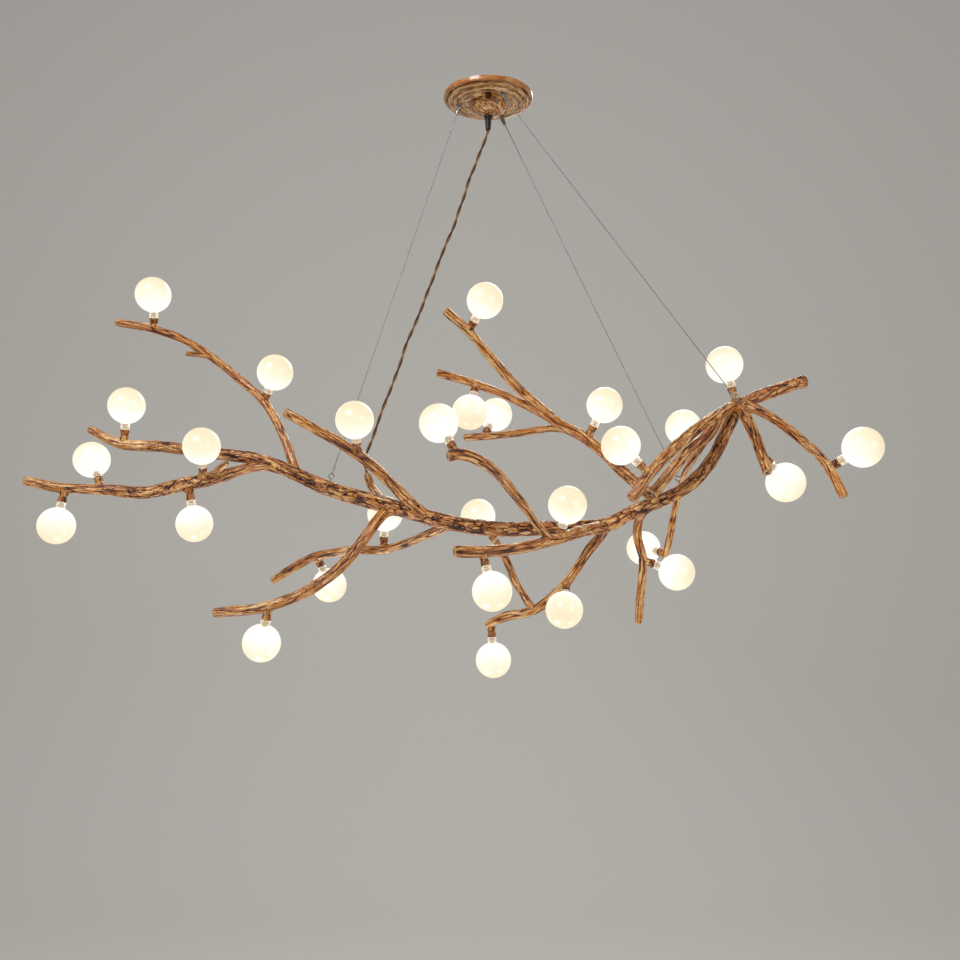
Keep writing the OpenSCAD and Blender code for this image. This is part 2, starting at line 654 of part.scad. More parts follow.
// Tapered boot under the boss, with the nut that clamps it from inside
module cord_grip() {
    low_r = cord_d / 2 + grip_end_wall;
    color("black") difference() {
        union() {
            translate([0, 0, boss_z]) mirror([0, 0, 1]) rotate_extrude()
                polygon([[0, 0], [grip_r, 0], [grip_r, grip_shoulder], [grip_r - 1.5, grip_shoulder + 2],
                    [low_r, boot_len - 1], [low_r - 0.6, boot_len], [0, boot_len]]);
            translate([0, 0, boss_z - 1])
                cylinder(r = grip_bore_r - facing_gap, h = canopy_wall + grip_thread_h);
            translate([0, 0, boss_z + canopy_wall]) cylinder(r = grip_nut_r, h = grip_nut_h, $fn = 6);
        }
        translate([0, 0, cord_exit_z - 1])
            cylinder(d = cord_d + 2 * facing_gap, h = boot_len + 2 * grip_thread_h);
    }
}

// Wire grippers: a flange and nut clamp the canopy, and a barrel swivels on the ball under it
module wire_grippers() {
    for (w = wires) {
        s = swivel(w);
        color("gainsboro") difference() {
            union() {
                translate([s.x, s.y, plateau_z - flange_h]) cylinder(d = flange_d, h = flange_h);
                translate([s.x, s.y, plateau_z - flange_h - 1])
                    cylinder(d = thread_d, h = flange_h + 1 + canopy_wall + thread_top);
                translate(s) sphere(d = barrel_d + 0.8);
                translate(s) along(-pull(w)) cylinder(d = barrel_d, h = barrel_len);
            }
            translate(s) along(-pull(w)) translate([0, 0, barrel_d / 2])
                cylinder(d = wire_d + wire_room, h = 2 * barrel_len);
            translate(s) along(-pull(w)) translate([0, 0, barrel_len - button_len + button_seat])
                cylinder(d = button_d + 0.6, h = 2 * barrel_len);
        }
        color("gainsboro") translate([s.x, s.y, plateau_z + canopy_wall]) difference() {
            cylinder(d = gripper_nut_d, h = gripper_nut_h, $fn = 6);
            translate([0, 0, -1]) cylinder(d = thread_d + 2 * facing_gap, h = gripper_nut_h + 2);
        }
    }
}

// Release button round the wire, at the mouth of the barrel
module gripper_button(w) {
    back = barrel_len - button_len + button_seat + button_travel + 0.3;
    color("silver") translate(swivel(w)) along(-pull(w)) translate([0, 0, back]) difference() {
        union() {
            cylinder(d = button_d, h = button_len - 1.5);
            translate([0, 0, button_len - 1.5]) cylinder(d1 = button_d, d2 = button_d - 1, h = 0.8);
        }
        translate([0, 0, -1]) cylinder(d = wire_d + 1, h = button_len + 2);
    }
}

module suspension_wire(w) {
    color("lightgray") translate(wire_start(w)) along(pull(w))
        cylinder(d = wire_d, h = norm(wire_end(w) - wire_start(w)), $fn = 8);
}

module ring_round(middle, normal, r, wire_r) {
    translate(middle) along(normal) rotate_extrude($fn = 32) translate([r, 0]) circle(r = wire_r, $fn = 16);
}

// Ferrule and end loop of each wire
module wire_ends() {
    for (w = wires) color("lightgray") {
        ring_round(loop_middle(w), cross(pull(w), eye_normal(w)), loop_r, loop_wire_r);
        translate(ferrule_base(w)) along(pull(w)) cylinder(d = wire_d + 1.7, h = ferrule_len);
    }
}

// Screw eyes in the trunk
module screw_eyes() {
    for (w = wires) {
        p = eye_root(w);
        color("lightgray") {
            ring_round(eye_middle(w), eye_normal(w), eye_r, eye_wire_r);
            translate(place(p)) along(w[2]) translate([0, 0, p[3] / 2 - shank_len])
                cylinder(r = shank_r, h = shank_len + eye_rise - eye_r - 0.3);
        }
    }
}

module power_cord() {
    c = course([for (p = cord_route) [p.x, p.y, p.z, cord_d]], cord_step);
    color("saddlebrown") skin([for (k = [0 : len(c) - 1])
        let (t = heading(c, k), s = unit(cross(t, [0, 1, 0])), u = cross(s, t))
            [for (a = [0 : cord_turn : 359]) place(c[k]) + cord_d / 2 * (cos(a) * s + sin(a) * u)]]);
}

ceiling_bracket();
terminal_block();
canopy();
canopy_nuts();
cord_grip();
wire_grippers();
gripper_button(wires[0]);  // gripper_button_left
gripper_button(wires[1]);  // gripper_button_rear
gripper_button(wires[2]);  // gripper_button_right
suspension_wire(wires[0]);  // wire_left
suspension_wire(wires[1]);  // wire_rear
suspension_wire(wires[2]);  // wire_right
wire_ends();
screw_eyes();
power_cord();
trunk_left();
trunk_right();
upper_left_branch();
lower_left_branch();
cord_side_branch();
front_left_branch();
rear_left_branch();
front_middle_branch();
lower_fork_branch();
tall_branch();
drop_branch();
front_right_branch();
right_tip_branch();
right_front_branch();
socket_cups();
lamp_holders();
for (i = [1 : bulb_count]) bulb(bulbs[i - 1]);
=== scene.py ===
import math

import bpy
import numpy as np
from mathutils import Matrix, Vector


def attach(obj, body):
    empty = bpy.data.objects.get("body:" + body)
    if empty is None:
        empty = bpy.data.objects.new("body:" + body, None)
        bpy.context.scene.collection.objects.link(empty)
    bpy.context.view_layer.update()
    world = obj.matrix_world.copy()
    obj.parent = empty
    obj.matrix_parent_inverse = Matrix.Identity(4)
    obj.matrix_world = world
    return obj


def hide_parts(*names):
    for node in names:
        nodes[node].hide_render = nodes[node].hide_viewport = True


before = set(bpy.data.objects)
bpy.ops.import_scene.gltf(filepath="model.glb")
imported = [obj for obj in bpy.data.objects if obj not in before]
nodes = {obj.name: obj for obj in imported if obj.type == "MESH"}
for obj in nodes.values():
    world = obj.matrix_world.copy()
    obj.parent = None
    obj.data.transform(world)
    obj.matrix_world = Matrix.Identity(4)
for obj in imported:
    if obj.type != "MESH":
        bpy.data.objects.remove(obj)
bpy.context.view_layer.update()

# ---- Studio ----
# The lamp hangs from a ceiling that isn't in view, over a pale floor that curves up behind it.
# The camera stands under the lamp's middle, 1.6 m in front, and looks up a little.
CAMERA_PLACE = (-0.013858, -1.624304, -0.798617)
CAMERA_PITCH = 5.2
FOCAL_MM = 37.5
SENSOR_MM = 36.0
FLOOR_Z = -2.3
FRONT_Y = -6.0
BACK_Y = 4.0
BACK_TOP_Z = 6.0
HALF_WIDTH = 9.0
SWEEP_RADIUS = 1.2
SWEEP_STEPS = 12
BOARD_COLOUR = "#E6E4E0"
WORLD_STRENGTH = 0.42
LIGHTS_AIM = (0, 0, -0.6)


def paint(code):
    """A sRGB hex colour as linear red, green, blue and alpha."""
    srgb = [int(code[i:i + 2], 16) / 255 for i in (1, 3, 5)]
    return [c / 12.92 if c <= 0.04045 else ((c + 0.055) / 1.055) ** 2.4 for c in srgb] + [1.0]


def add(tree, kind, inputs=None, **settings):
    """Adds a node with its settings; an input is a value, a socket, or a node for its first output."""
    node = tree.nodes.new(kind)
    for name, value in settings.items():
        setattr(node, name, value)
    for key, value in (inputs or {}).items():
        if isinstance(value, bpy.types.Node):
            value = value.outputs[0]
        if isinstance(value, bpy.types.NodeSocket):
            tree.links.new(value, node.inputs[key])
        else:
            node.inputs[key].default_value = value
    return node


def material(name):
    """An empty material and its tree, ready for its shader."""
    made = bpy.data.materials.new(name)
    made.use_nodes = True
    made.node_tree.nodes.clear()
    return made, made.node_tree


def new_object(name, data):
    """A new object in the scene, at the origin."""
    made = bpy.data.objects.new(name, data)
    bpy.context.scene.collection.objects.link(made)
    return made


camera = new_object("camera", bpy.data.cameras.new("camera"))
camera.location = CAMERA_PLACE
camera.rotation_euler = (math.radians(90 + CAMERA_PITCH), 0, 0)
camera.data.sensor_fit = "HORIZONTAL"
camera.data.sensor_width = SENSOR_MM
camera.data.lens = FOCAL_MM
camera.data.clip_start = 0.05
camera.data.clip_end = 100
bpy.context.scene.camera = camera

# Floor and backdrop in one sheet of painted board, with a round sweep between them
profile = [(FRONT_Y, FLOOR_Z), (BACK_Y - SWEEP_RADIUS, FLOOR_Z)]
for step in range(1, SWEEP_STEPS + 1):
    angle = math.radians(90 * step / SWEEP_STEPS)
    profile.append((BACK_Y - SWEEP_RADIUS + SWEEP_RADIUS * math.sin(angle),
                    FLOOR_Z + SWEEP_RADIUS * (1 - math.cos(angle))))
profile.append((BACK_Y, BACK_TOP_Z))
sheet_points = [(x, y, z) for y, z in profile for x in (-HALF_WIDTH, HALF_WIDTH)]
sheet_faces = [(2 * i, 2 * i + 1, 2 * i + 3, 2 * i + 2) for i in range(len(profile) - 1)]
sheet = bpy.data.meshes.new("studio_floor")
sheet.from_pydata(sheet_points, [], sheet_faces)
sheet.shade_smooth()
studio_floor = new_object("studio_floor", sheet)
board, tree = material("matt painted board")
shader = add(tree, "ShaderNodeBsdfPrincipled", {"Base Color": paint(BOARD_COLOUR), "Roughness": 0.9})
add(tree, "ShaderNodeOutputMaterial", {"Surface": shader})
studio_floor.data.materials.append(board)

world = bpy.data.worlds.new("studio")
bpy.context.scene.world = world
world.use_nodes = True
sky = world.node_tree.nodes["Background"].inputs
sky["Color"].default_value = paint(BOARD_COLOUR)
sky["Strength"].default_value = WORLD_STRENGTH

# Soft boxes: name, place, size in metres and watts. Each faces the middle of the lamp, and the low
# ones only add gloss to what faces down.
for name, place, size, watts in (("key", (-1.6, -2.2, 1.4), 1.2, 56),
                                 ("fill", (2.2, -2.0, -0.4), 1.4, 16),
                                 ("low left", (-0.6, 0.2, -2.2), 0.5, 8),
                                 ("low right", (0.8, 0.1, -2.2), 0.4, 4),
                                 ("back", (0.8, 2.4, 1.2), 1.5, 24)):
    lamp = bpy.data.lights.new(name, "AREA")
    lamp.shape = "SQUARE"
    lamp.size = size
    lamp.energy = watts
    soft_box = new_object(name, lamp)
    soft_box.location = place
    soft_box.rotation_euler = (Vector(LIGHTS_AIM) - Vector(place)).to_track_quat("-Z", "Y").to_euler()
    soft_box.visible_camera = False

bpy.context.scene.view_settings.view_transform = "Standard"

# ---- Power cord ----
# Two cords in woven cotton sleeves, one dark and one tan, twisted together. They leave the cord
# grip under the canopy and end in the stub on the trunk.
MM = 0.001

# x, y, z in millimetres, as in the part's source
CORD_ROUTE = [
    (0, 0, -45), (0, 0, -60), (-5, 0, -75), (-20, 0, -115), (-30, 0, -140), (-40, 5, -170),
    (-50, 5, -200), (-60, 5, -230), (-75, 5, -265), (-90, 10, -305), (-105, 10, -345),
    (-120, 10, -385), (-135, 10, -420), (-150, 15, -465), (-165, 15, -505), (-180, 15, -545),
    (-190, 20, -575), (-200, 20, -600), (-205, 20, -620), (-200, 20, -640), (-196, 20, -652)]
CORD_D = 5.5 * MM
CORD_STRAND_D = 2.9 * MM
CORD_LAY = 50 * MM
CORD_STEP = 2 * MM
SLEEVE_THREAD = 0.55 * MM
SLEEVE_FUZZ = 1.11 * MM


def smooth_line(rows, step):
    """A smooth curve through rows of numbers that start with x, y, z in metres."""
    rows = np.array(rows, float)
    rows = np.vstack([2 * rows[0] - rows[1], rows, 2 * rows[-1] - rows[-2]])
    line = []
    for a, b, c, d in zip(rows, rows[1:], rows[2:], rows[3:]):
        count = max(1, math.ceil(np.linalg.norm((c - b)[:3]) / step))
        for t in np.arange(count) / count:
            line.append(0.5 * (2 * b + (c - a) * t + (2 * a - 5 * b + 4 * c - d) * t ** 2
                               + (3 * b - a - 3 * c + d) * t ** 3))
    return np.array(line + [rows[-2]])


def travelled(line):
    """Distance along a line to each of its points."""
    return np.concatenate([[0], np.cumsum(np.linalg.norm(np.diff(line[:, :3], axis=0), axis=1))])


def lines_mesh(name, lines):
    """A mesh of bare lines; each line is its points and its values, by attribute name."""
    points, edges, values = [], [], {}
    for line, data in lines:
        first = len(points)
        points += [tuple(p) for p in line[:, :3]]
        edges += [(first + i, first + i + 1) for i in range(len(line) - 1)]
        for key, value in data.items():
            values.setdefault(key, []).extend(np.broadcast_to(value, len(line)))
    mesh = bpy.data.meshes.new(name)
    mesh.from_pydata(points, edges, [])
    for key, value in values.items():
        mesh.attributes.new(key, "FLOAT", "POINT").data.foreach_set("value", value)
    return mesh


def geometry_tree(name, inputs):
    """A Geometry Nodes tree with named inputs, and the sockets that give them inside."""
    tree = bpy.data.node_groups.new(name, "GeometryNodeTree")
    tree.interface.new_socket("Geometry", in_out="OUTPUT", socket_type="NodeSocketGeometry")
    tree.interface.new_socket("Geometry", in_out="INPUT", socket_type="NodeSocketGeometry")
    for label, kind in inputs.items():
        tree.interface.new_socket(label, in_out="INPUT", socket_type="NodeSocket" + kind)
    return tree, add(tree, "NodeGroupInput").outputs


def shape_with(source, tree, values):
    """Gives an object the tree as its last modifier, with its inputs set."""
    modifier = source.modifiers.new(tree.name, "NODES")
    modifier.node_group = tree
    for item in tree.interface.items_tree:
        if item.in_out == "INPUT" and item.name in values:
            modifier[item.identifier] = values[item.name]


def plain_mesh(source, name):
    """The evaluated shape of an object as a mesh of its own."""
    bpy.context.view_layer.update()
    mesh = bpy.data.meshes.new_from_object(source.evaluated_get(bpy.context.evaluated_depsgraph_get()))
    mesh.name = name
    return mesh


def discard(*helpers):
    """Removes the objects that a piece was made with."""
    for helper in helpers:
        bpy.data.objects.remove(helper)


def tube_round(tree, line, radius, sides):
    """A capped tube round a line, and where its points are on a circle of radius 1."""
    rim = add(tree, "GeometryNodeCurvePrimitiveCircle", {"Resolution": sides, "Radius": 1.0})
    rim = add(tree, "GeometryNodeStoreNamedAttribute", {
        "Geometry": rim, "Name": "rim", "Value": add(tree, "GeometryNodeInputPosition")},
        data_type="FLOAT_VECTOR", domain="POINT")
    tube = add(tree, "GeometryNodeCurveToMesh", {
        "Curve": line, "Profile Curve": rim, "Scale": radius, "Fill Caps": True})
    return tube, add(tree, "GeometryNodeInputNamedAttribute", {"Name": "rim"}, data_type="FLOAT_VECTOR")


# Strands laid round a line. Each line given is one strand: "turn" is its place in the round and
# "out" is 0 for a strand in the middle. "wrap" keeps where a point is on its strand: round it
# from 0 to 1, along it in metres, and the strand's number.
twist, given = geometry_tree("twisted strands", {
    "Lay": "Float", "Core radius": "Float", "Strand radius": "Float",
    "Sides": "Int", "Finish": "Material"})
line = add(twist, "GeometryNodeMeshToCurve", {"Mesh": given["Geometry"]})
along = add(twist, "GeometryNodeSplineParameter").outputs["Length"]
turn, out = [add(twist, "GeometryNodeInputNamedAttribute", {"Name": name}, data_type="FLOAT")
             for name in ("turn", "out")]
turns = add(twist, "ShaderNodeMath", {0: along, 1: given["Lay"]}, operation="DIVIDE")
turns = add(twist, "ShaderNodeMath", {0: turns, 1: turn}, operation="ADD")
angle = add(twist, "ShaderNodeMath", {0: turns, 1: math.tau}, operation="MULTIPLY")
normal = add(twist, "GeometryNodeInputNormal").outputs["Normal"]
tangent = add(twist, "GeometryNodeInputTangent")
side = add(twist, "ShaderNodeVectorMath", {0: tangent, 1: normal}, operation="CROSS_PRODUCT")
across = add(twist, "ShaderNodeVectorMath", {
    0: normal, "Scale": add(twist, "ShaderNodeMath", {0: angle}, operation="COSINE")}, operation="SCALE")
sideways = add(twist, "ShaderNodeVectorMath", {
    0: side, "Scale": add(twist, "ShaderNodeMath", {0: angle}, operation="SINE")}, operation="SCALE")
radial = add(twist, "ShaderNodeVectorMath", {0: across, 1: sideways}, operation="ADD")
reach = add(twist, "ShaderNodeMath", {0: out, 1: given["Core radius"]}, operation="MULTIPLY")
offset = add(twist, "ShaderNodeVectorMath", {0: radial, "Scale": reach}, operation="SCALE")
line = add(twist, "GeometryNodeStoreNamedAttribute", {"Geometry": line, "Name": "along", "Value": along},
           data_type="FLOAT", domain="POINT")
line = add(twist, "GeometryNodeSetPosition", {"Geometry": line, "Offset": offset})
tube, rim = tube_round(twist, line, given["Strand radius"], given["Sides"])
rim_place = add(twist, "ShaderNodeSeparateXYZ", {0: rim})
wrap = add(twist, "ShaderNodeCombineXYZ", {
    "X": add(twist, "ShaderNodeMath", {0: rim_place.outputs["X"], 1: rim_place.outputs["Y"]},
             operation="ARCTAN2"),
    "Y": add(twist, "GeometryNodeInputNamedAttribute", {"Name": "along"}, data_type="FLOAT"),
    "Z": turn})
tube = add(twist, "GeometryNodeStoreNamedAttribute", {"Geometry": tube, "Name": "wrap", "Value": wrap},
           data_type="FLOAT_VECTOR", domain="POINT")
tube = add(twist, "GeometryNodeSetShadeSmooth", {"Geometry": tube})
tube = add(twist, "GeometryNodeRealizeInstances", {"Geometry": tube})
tube = add(twist, "GeometryNodeSetMaterial", {"Geometry": tube, "Material": given["Finish"]})
add(twist, "NodeGroupOutput", {"Geometry": tube})

# Woven cotton sleeve: two sets of threads cross on the diagonal, each thread slightly domed; its colour is
# painted darker in the gaps between threads and lighter on their crowns, as shade and highlight
braid, tree = material("woven cotton sleeve")
wrap = add(tree, "ShaderNodeAttribute", attribute_name="wrap").outputs["Vector"]
wrap_place = add(tree, "ShaderNodeSeparateXYZ", {0: wrap})
round_it = add(tree, "ShaderNodeMath", {
    0: wrap_place.outputs["X"], 1: CORD_STRAND_D / 2 / SLEEVE_THREAD * math.pi}, operation="MULTIPLY")
along_it = add(tree, "ShaderNodeMath", {
    0: wrap_place.outputs["Y"], 1: math.pi / SLEEVE_THREAD}, operation="MULTIPLY")
leaning = add(tree, "ShaderNodeMath", {0: round_it, 1: along_it}, operation="ADD")
crossing = add(tree, "ShaderNodeMath", {0: along_it, 1: round_it}, operation="SUBTRACT")
threads = add(tree, "ShaderNodeMath", {
    0: add(tree, "ShaderNodeMath", {0: leaning}, operation="SINE"),
    1: add(tree, "ShaderNodeMath", {0: crossing}, operation="SINE")}, operation="MULTIPLY")
dome = add(tree, "ShaderNodeMapRange", {0: threads, 1: -1.0, 2: 1.0})
fuzz = add(tree, "ShaderNodeTexNoise", {"Vector": wrap, "Scale": 1 / SLEEVE_FUZZ, "Detail": 2.0})
is_tan = add(tree, "ShaderNodeMath", {0: wrap_place.outputs["Z"], 1: 0.25}, operation="GREATER_THAN")
shade = add(tree, "ShaderNodeMix", {
    "Factor": is_tan, "A": paint("#4E2E16"), "B": paint("#A3743F")}, data_type="RGBA")
# painted shade between the threads and painted highlight on their crowns, with fuzz for uneven tone
fuzz_and_gap_shading = add(tree, "ShaderNodeMath", {0: dome, 1: fuzz}, operation="MULTIPLY")
thread_gap_shading = add(tree, "ShaderNodeMapRange", {0: fuzz_and_gap_shading, 1: 0.0, 2: 0.6, 3: 0.55, 4: 1.15})
shade = add(tree, "ShaderNodeVectorMath", {
    0: shade.outputs["Result"], "Scale": thread_gap_shading}, operation="SCALE")
raised = add(tree, "ShaderNodeBump", {"Height": dome, "Distance": 0.1 * MM, "Strength": 0.6})
shader = add(tree, "ShaderNodeBsdfPrincipled", {
    "Base Color": shade, "Roughness": 0.85, "Normal": raised, "Sheen Weight": 0.25,
    "Sheen Roughness": 0.5})
add(tree, "ShaderNodeOutputMaterial", {"Surface": shader})

cord_line = smooth_line(np.array(CORD_ROUTE) * MM, CORD_STEP)
strands = new_object("cord strands", lines_mesh("cord strands", [
    (cord_line, {"turn": 0.0, "out": 1.0}), (cord_line, {"turn": 0.5, "out": 1.0})]))
shape_with(strands, twist, {
    "Lay": CORD_LAY, "Core radius": (CORD_D - CORD_STRAND_D) / 2, "Strand radius": CORD_STRAND_D / 2,
    "Sides": 14, "Finish": braid})
power_cord = new_object("power_cord_strands", plain_mesh(strands, "power_cord_strands"))
discard(strands)
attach(power_cord, "fixture")
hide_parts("power_cord")

# ---- Suspension wires ----
# Three steel wire ropes of one middle strand and six outer ones, taut between the grippers on
# the canopy and the ferrules at the trunk.
WIRE_D = 1.5 * MM
WIRE_LAY = 10 * MM
WIRE_STEP = 1.2 * MM
DRAWN_MARKS = 2.5 * MM
OUTER_STRANDS = 6

steel_rope, tree = material("drawn steel wire")
wrap = add(tree, "ShaderNodeAttribute", attribute_name="wrap").outputs["Vector"]
drawn = add(tree, "ShaderNodeTexNoise", {"Vector": wrap, "Scale": 1 / DRAWN_MARKS, "Detail": 1.0})
shade = add(tree, "ShaderNodeMix", {
    "Factor": drawn, "A": paint("#8C8D8F"), "B": paint("#B9BABC")}, data_type="RGBA")
shader = add(tree, "ShaderNodeBsdfPrincipled", {
    "Base Color": shade.outputs["Result"], "Metallic": 1.0, "Roughness": 0.38})
add(tree, "ShaderNodeOutputMaterial", {"Surface": shader})

for name in ("wire_left", "wire_rear", "wire_right"):
    solid = np.array([nodes[name].matrix_world @ v.co for v in nodes[name].data.vertices])
    is_upper = solid[:, 2] > solid[:, 2].mean()
    upper, lower = solid[is_upper].mean(axis=0), solid[~is_upper].mean(axis=0)
    count = math.ceil(np.linalg.norm(upper - lower) / WIRE_STEP)
    wire_line = upper + (lower - upper) * np.linspace(0, 1, count)[:, None]
    strands = new_object(name + " strands", lines_mesh(name + " strands", [
        (wire_line, {"turn": 0.0, "out": 0.0})] + [
        (wire_line, {"turn": k / OUTER_STRANDS, "out": 1.0}) for k in range(OUTER_STRANDS)]))
    shape_with(strands, twist, {
        "Lay": WIRE_LAY, "Core radius": WIRE_D / 3, "Strand radius": WIRE_D / 6, "Sides": 6,
        "Finish": steel_rope})
    rope = new_object(name + "_rope", plain_mesh(strands, name + "_rope"))
    discard(strands)
    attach(rope, "fixture")
    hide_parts(name)

# ---- Ceiling bracket and terminal block ----
# The bracket is a zinc-plated steel bar screwed to the ceiling, with the canopy's two studs.
# The nylon terminal block sits beside it on the house wiring. Neither shows under the canopy.


def finish_node(name, finish):
    """Gives a CAD node its material."""
    if not nodes[name].data.materials:
        nodes[name].data.materials.append(finish)
    for place in nodes[name].material_slots:
        place.material = finish


def mottled(name, spot, dark, light, rough, inputs=None, dent=None, detail=2.0):
    """A material whose shade and roughness vary in spots of one size.

    A dent is the depth and strength of the relief that the spots get.
    """
    made, tree = material(name)
    where = add(tree, "ShaderNodeTexCoord").outputs["Object"]
    spots = add(tree, "ShaderNodeTexNoise", {"Vector": where, "Scale": 1 / spot, "Detail": detail})
    shade = add(tree, "ShaderNodeMix", {
        "Factor": spots, "A": paint(dark), "B": paint(light)}, data_type="RGBA")
    roughness = add(tree, "ShaderNodeMapRange", {0: spots, 3: rough[0], 4: rough[1]})
    inputs = dict(inputs or {}, Roughness=roughness)
    if dent:
        inputs["Normal"] = add(tree, "ShaderNodeBump", {
            "Height": spots, "Distance": dent[0], "Strength": dent[1]})
    shader = add(tree, "ShaderNodeBsdfPrincipled", {"Base Color": shade.outputs["Result"], **inputs})
    add(tree, "ShaderNodeOutputMaterial", {"Surface": shader})
    return made


SPANGLE = 4 * MM

zinc, tree = material("zinc-plated steel")
where = add(tree, "ShaderNodeTexCoord").outputs["Object"]
spangle = add(tree, "ShaderNodeTexVoronoi", {"Vector": where, "Scale": 1 / SPANGLE})
shade = add(tree, "ShaderNodeMix", {
    "Factor": spangle.outputs["Distance"], "A": paint("#A6A8AA"), "B": paint("#C6C6C2")}, data_type="RGBA")
shader = add(tree, "ShaderNodeBsdfPrincipled", {
    "Base Color": shade.outputs["Result"], "Metallic": 1.0, "Roughness": 0.42})
add(tree, "ShaderNodeOutputMaterial", {"Surface": shader})
finish_node("ceiling_bracket", zinc)
finish_node("terminal_block", mottled(
    "moulded white nylon", 0.67 * MM, "#DEDCD2", "#EEEDE6", (0.45, 0.45), dent=(0.03 * MM, 0.4)))

# ---- Canopy ----
# Spun steel ceiling cover with turned steps and a raised boss, painted by hand with golden-brown
# grain that swirls round it, under gloss lacquer.
GRAIN_WIDTH = 1.9 * MM
GRAIN_TURN = 7 * MM
DRIFT_WIDTH = 38.5 * MM
DRIFT = 16 * MM
CLOUD_WIDTH = 22.2 * MM
RIM_R = 71 * MM
# Radii of the painted highlight lines by the steps, each with a painted shade line outside it: the outer
# two lie by steps of the solid, and the inner one is paint alone
STEP_HIGHLIGHT_LINES_R = (48 * MM, 57 * MM, 66 * MM)
STEP_SHADING_LINE = 1.5 * MM

wood_paint, tree = material("grained paint under gloss lacquer")
where = add(tree, "ShaderNodeTexCoord").outputs["Object"]
drift = add(tree, "ShaderNodeTexNoise", {"Vector": where, "Scale": 1 / DRIFT_WIDTH, "Detail": 2.0})
drift = add(tree, "ShaderNodeVectorMath", {0: drift.outputs["Color"], "Scale": DRIFT}, operation="SCALE")
swirled = add(tree, "ShaderNodeSeparateXYZ", {
    0: add(tree, "ShaderNodeVectorMath", {0: where, 1: drift}, operation="ADD")}).outputs
swirled_r = add(tree, "ShaderNodeVectorMath", {
    0: add(tree, "ShaderNodeCombineXYZ", {"X": swirled["X"], "Y": swirled["Y"]})}, operation="LENGTH")
turned = add(tree, "ShaderNodeCombineXYZ", {
    "X": swirled_r.outputs["Value"], "Z": swirled["Z"],
    "Y": add(tree, "ShaderNodeMath", {
        0: add(tree, "ShaderNodeMath", {0: swirled["Y"], 1: swirled["X"]}, operation="ARCTAN2"),
        1: GRAIN_TURN}, operation="MULTIPLY")})
grain = add(tree, "ShaderNodeTexNoise", {
    "Vector": turned, "Scale": 1 / (2 * GRAIN_WIDTH), "Detail": 2.0, "Roughness": 0.6, "Distortion": 0.6})
cloud = add(tree, "ShaderNodeTexNoise", {
    "Vector": where, "Scale": 1 / CLOUD_WIDTH, "Detail": 2.0, "Distortion": 1.5})
figure = add(tree, "ShaderNodeMath", {
    0: grain, 1: 0.8, 2: add(tree, "ShaderNodeMath", {0: cloud, 1: 0.3}, operation="MULTIPLY")},
    operation="MULTIPLY_ADD")
ramp = add(tree, "ShaderNodeValToRGB", {0: figure})
for place, code in ((0.4, "#4A1E04"), (0.49, "#935219"), (0.57, "#C58640"), (0.68, "#F2CB94")):
    ramp.color_ramp.elements.new(place).color = paint(code)
ramp.color_ramp.elements.remove(ramp.color_ramp.elements[0])
ramp.color_ramp.elements.remove(ramp.color_ramp.elements[-1])
split = add(tree, "ShaderNodeSeparateXYZ", {0: where}).outputs
true_r = add(tree, "ShaderNodeVectorMath", {
    0: add(tree, "ShaderNodeCombineXYZ", {"X": split["X"], "Y": split["Y"]})}, operation="LENGTH")
at_rim = add(tree, "ShaderNodeMapRange", {
    0: true_r.outputs["Value"], 1: RIM_R - 1 * MM, 2: RIM_R + 1 * MM})
shade = add(tree, "ShaderNodeMix", {
    "Factor": add(tree, "ShaderNodeMath", {0: at_rim, 1: 0.6}, operation="MULTIPLY"),
    "A": ramp, "B": paint("#B86A1E")}, data_type="RGBA")
turned_height = add(tree, "ShaderNodeMath", {0: figure, 1: 0.4}, operation="MULTIPLY")
for highlight_r in STEP_HIGHLIGHT_LINES_R:
    # a pale raised line painted as a highlight, and a dark sunk one outside it painted as shade
    for line_r, height, colour in ((highlight_r, 0.8, "#F4CC8E"), (highlight_r + 2.2 * STEP_SHADING_LINE, -0.8, "#3A1804")):
        off = add(tree, "ShaderNodeMath", {
            0: add(tree, "ShaderNodeMath", {0: true_r.outputs["Value"], 1: line_r}, operation="SUBTRACT")},
            operation="ABSOLUTE")
        on_shading_line = add(tree, "ShaderNodeMapRange", {0: off, 1: 0.0, 2: STEP_SHADING_LINE, 3: 1.0, 4: 0.0})
        turned_height = add(tree, "ShaderNodeMath", {
            0: on_shading_line, 1: height, 2: turned_height}, operation="MULTIPLY_ADD")
        shade = add(tree, "ShaderNodeMix", {
            "Factor": add(tree, "ShaderNodeMath", {0: on_shading_line, 1: 0.75}, operation="MULTIPLY"),
            "A": shade.outputs["Result"], "B": paint(colour)}, data_type="RGBA")
raised = add(tree, "ShaderNodeBump", {"Height": turned_height, "Distance": 0.9 * MM, "Strength": 1.0})
shader = add(tree, "ShaderNodeBsdfPrincipled", {
    "Base Color": shade.outputs["Result"], "Roughness": 0.3, "Specular IOR Level": 0.3, "Normal": raised,
    "Coat Weight": 0.8, "Coat Roughness": 0.1, "Coat Normal": raised})
add(tree, "ShaderNodeOutputMaterial", {"Surface": shader})
finish_node("canopy", wood_paint)

# ---- Canopy nuts ----
# Two knurled cap nuts in dark bronze, screwed from below on the bracket's studs, which reach
# through the canopy. They clamp it against the ceiling.
finish_node("canopy_nuts", mottled(
    "dark bronze", 2.86 * MM, "#2E1408", "#7A4526", (0.28, 0.5), {"Metallic": 1.0}, detail=3.0))

# ---- Cord grip ----
# A tapered boot of black nylon under the boss. Its threaded neck goes through the canopy, where
# its own nut clamps it, and it grips the cord.
finish_node("cord_grip", mottled(
    "moulded black nylon", 0.83 * MM, "#0E0D0C", "#201D1B", (0.4, 0.4), dent=(0.04 * MM, 0.5)))

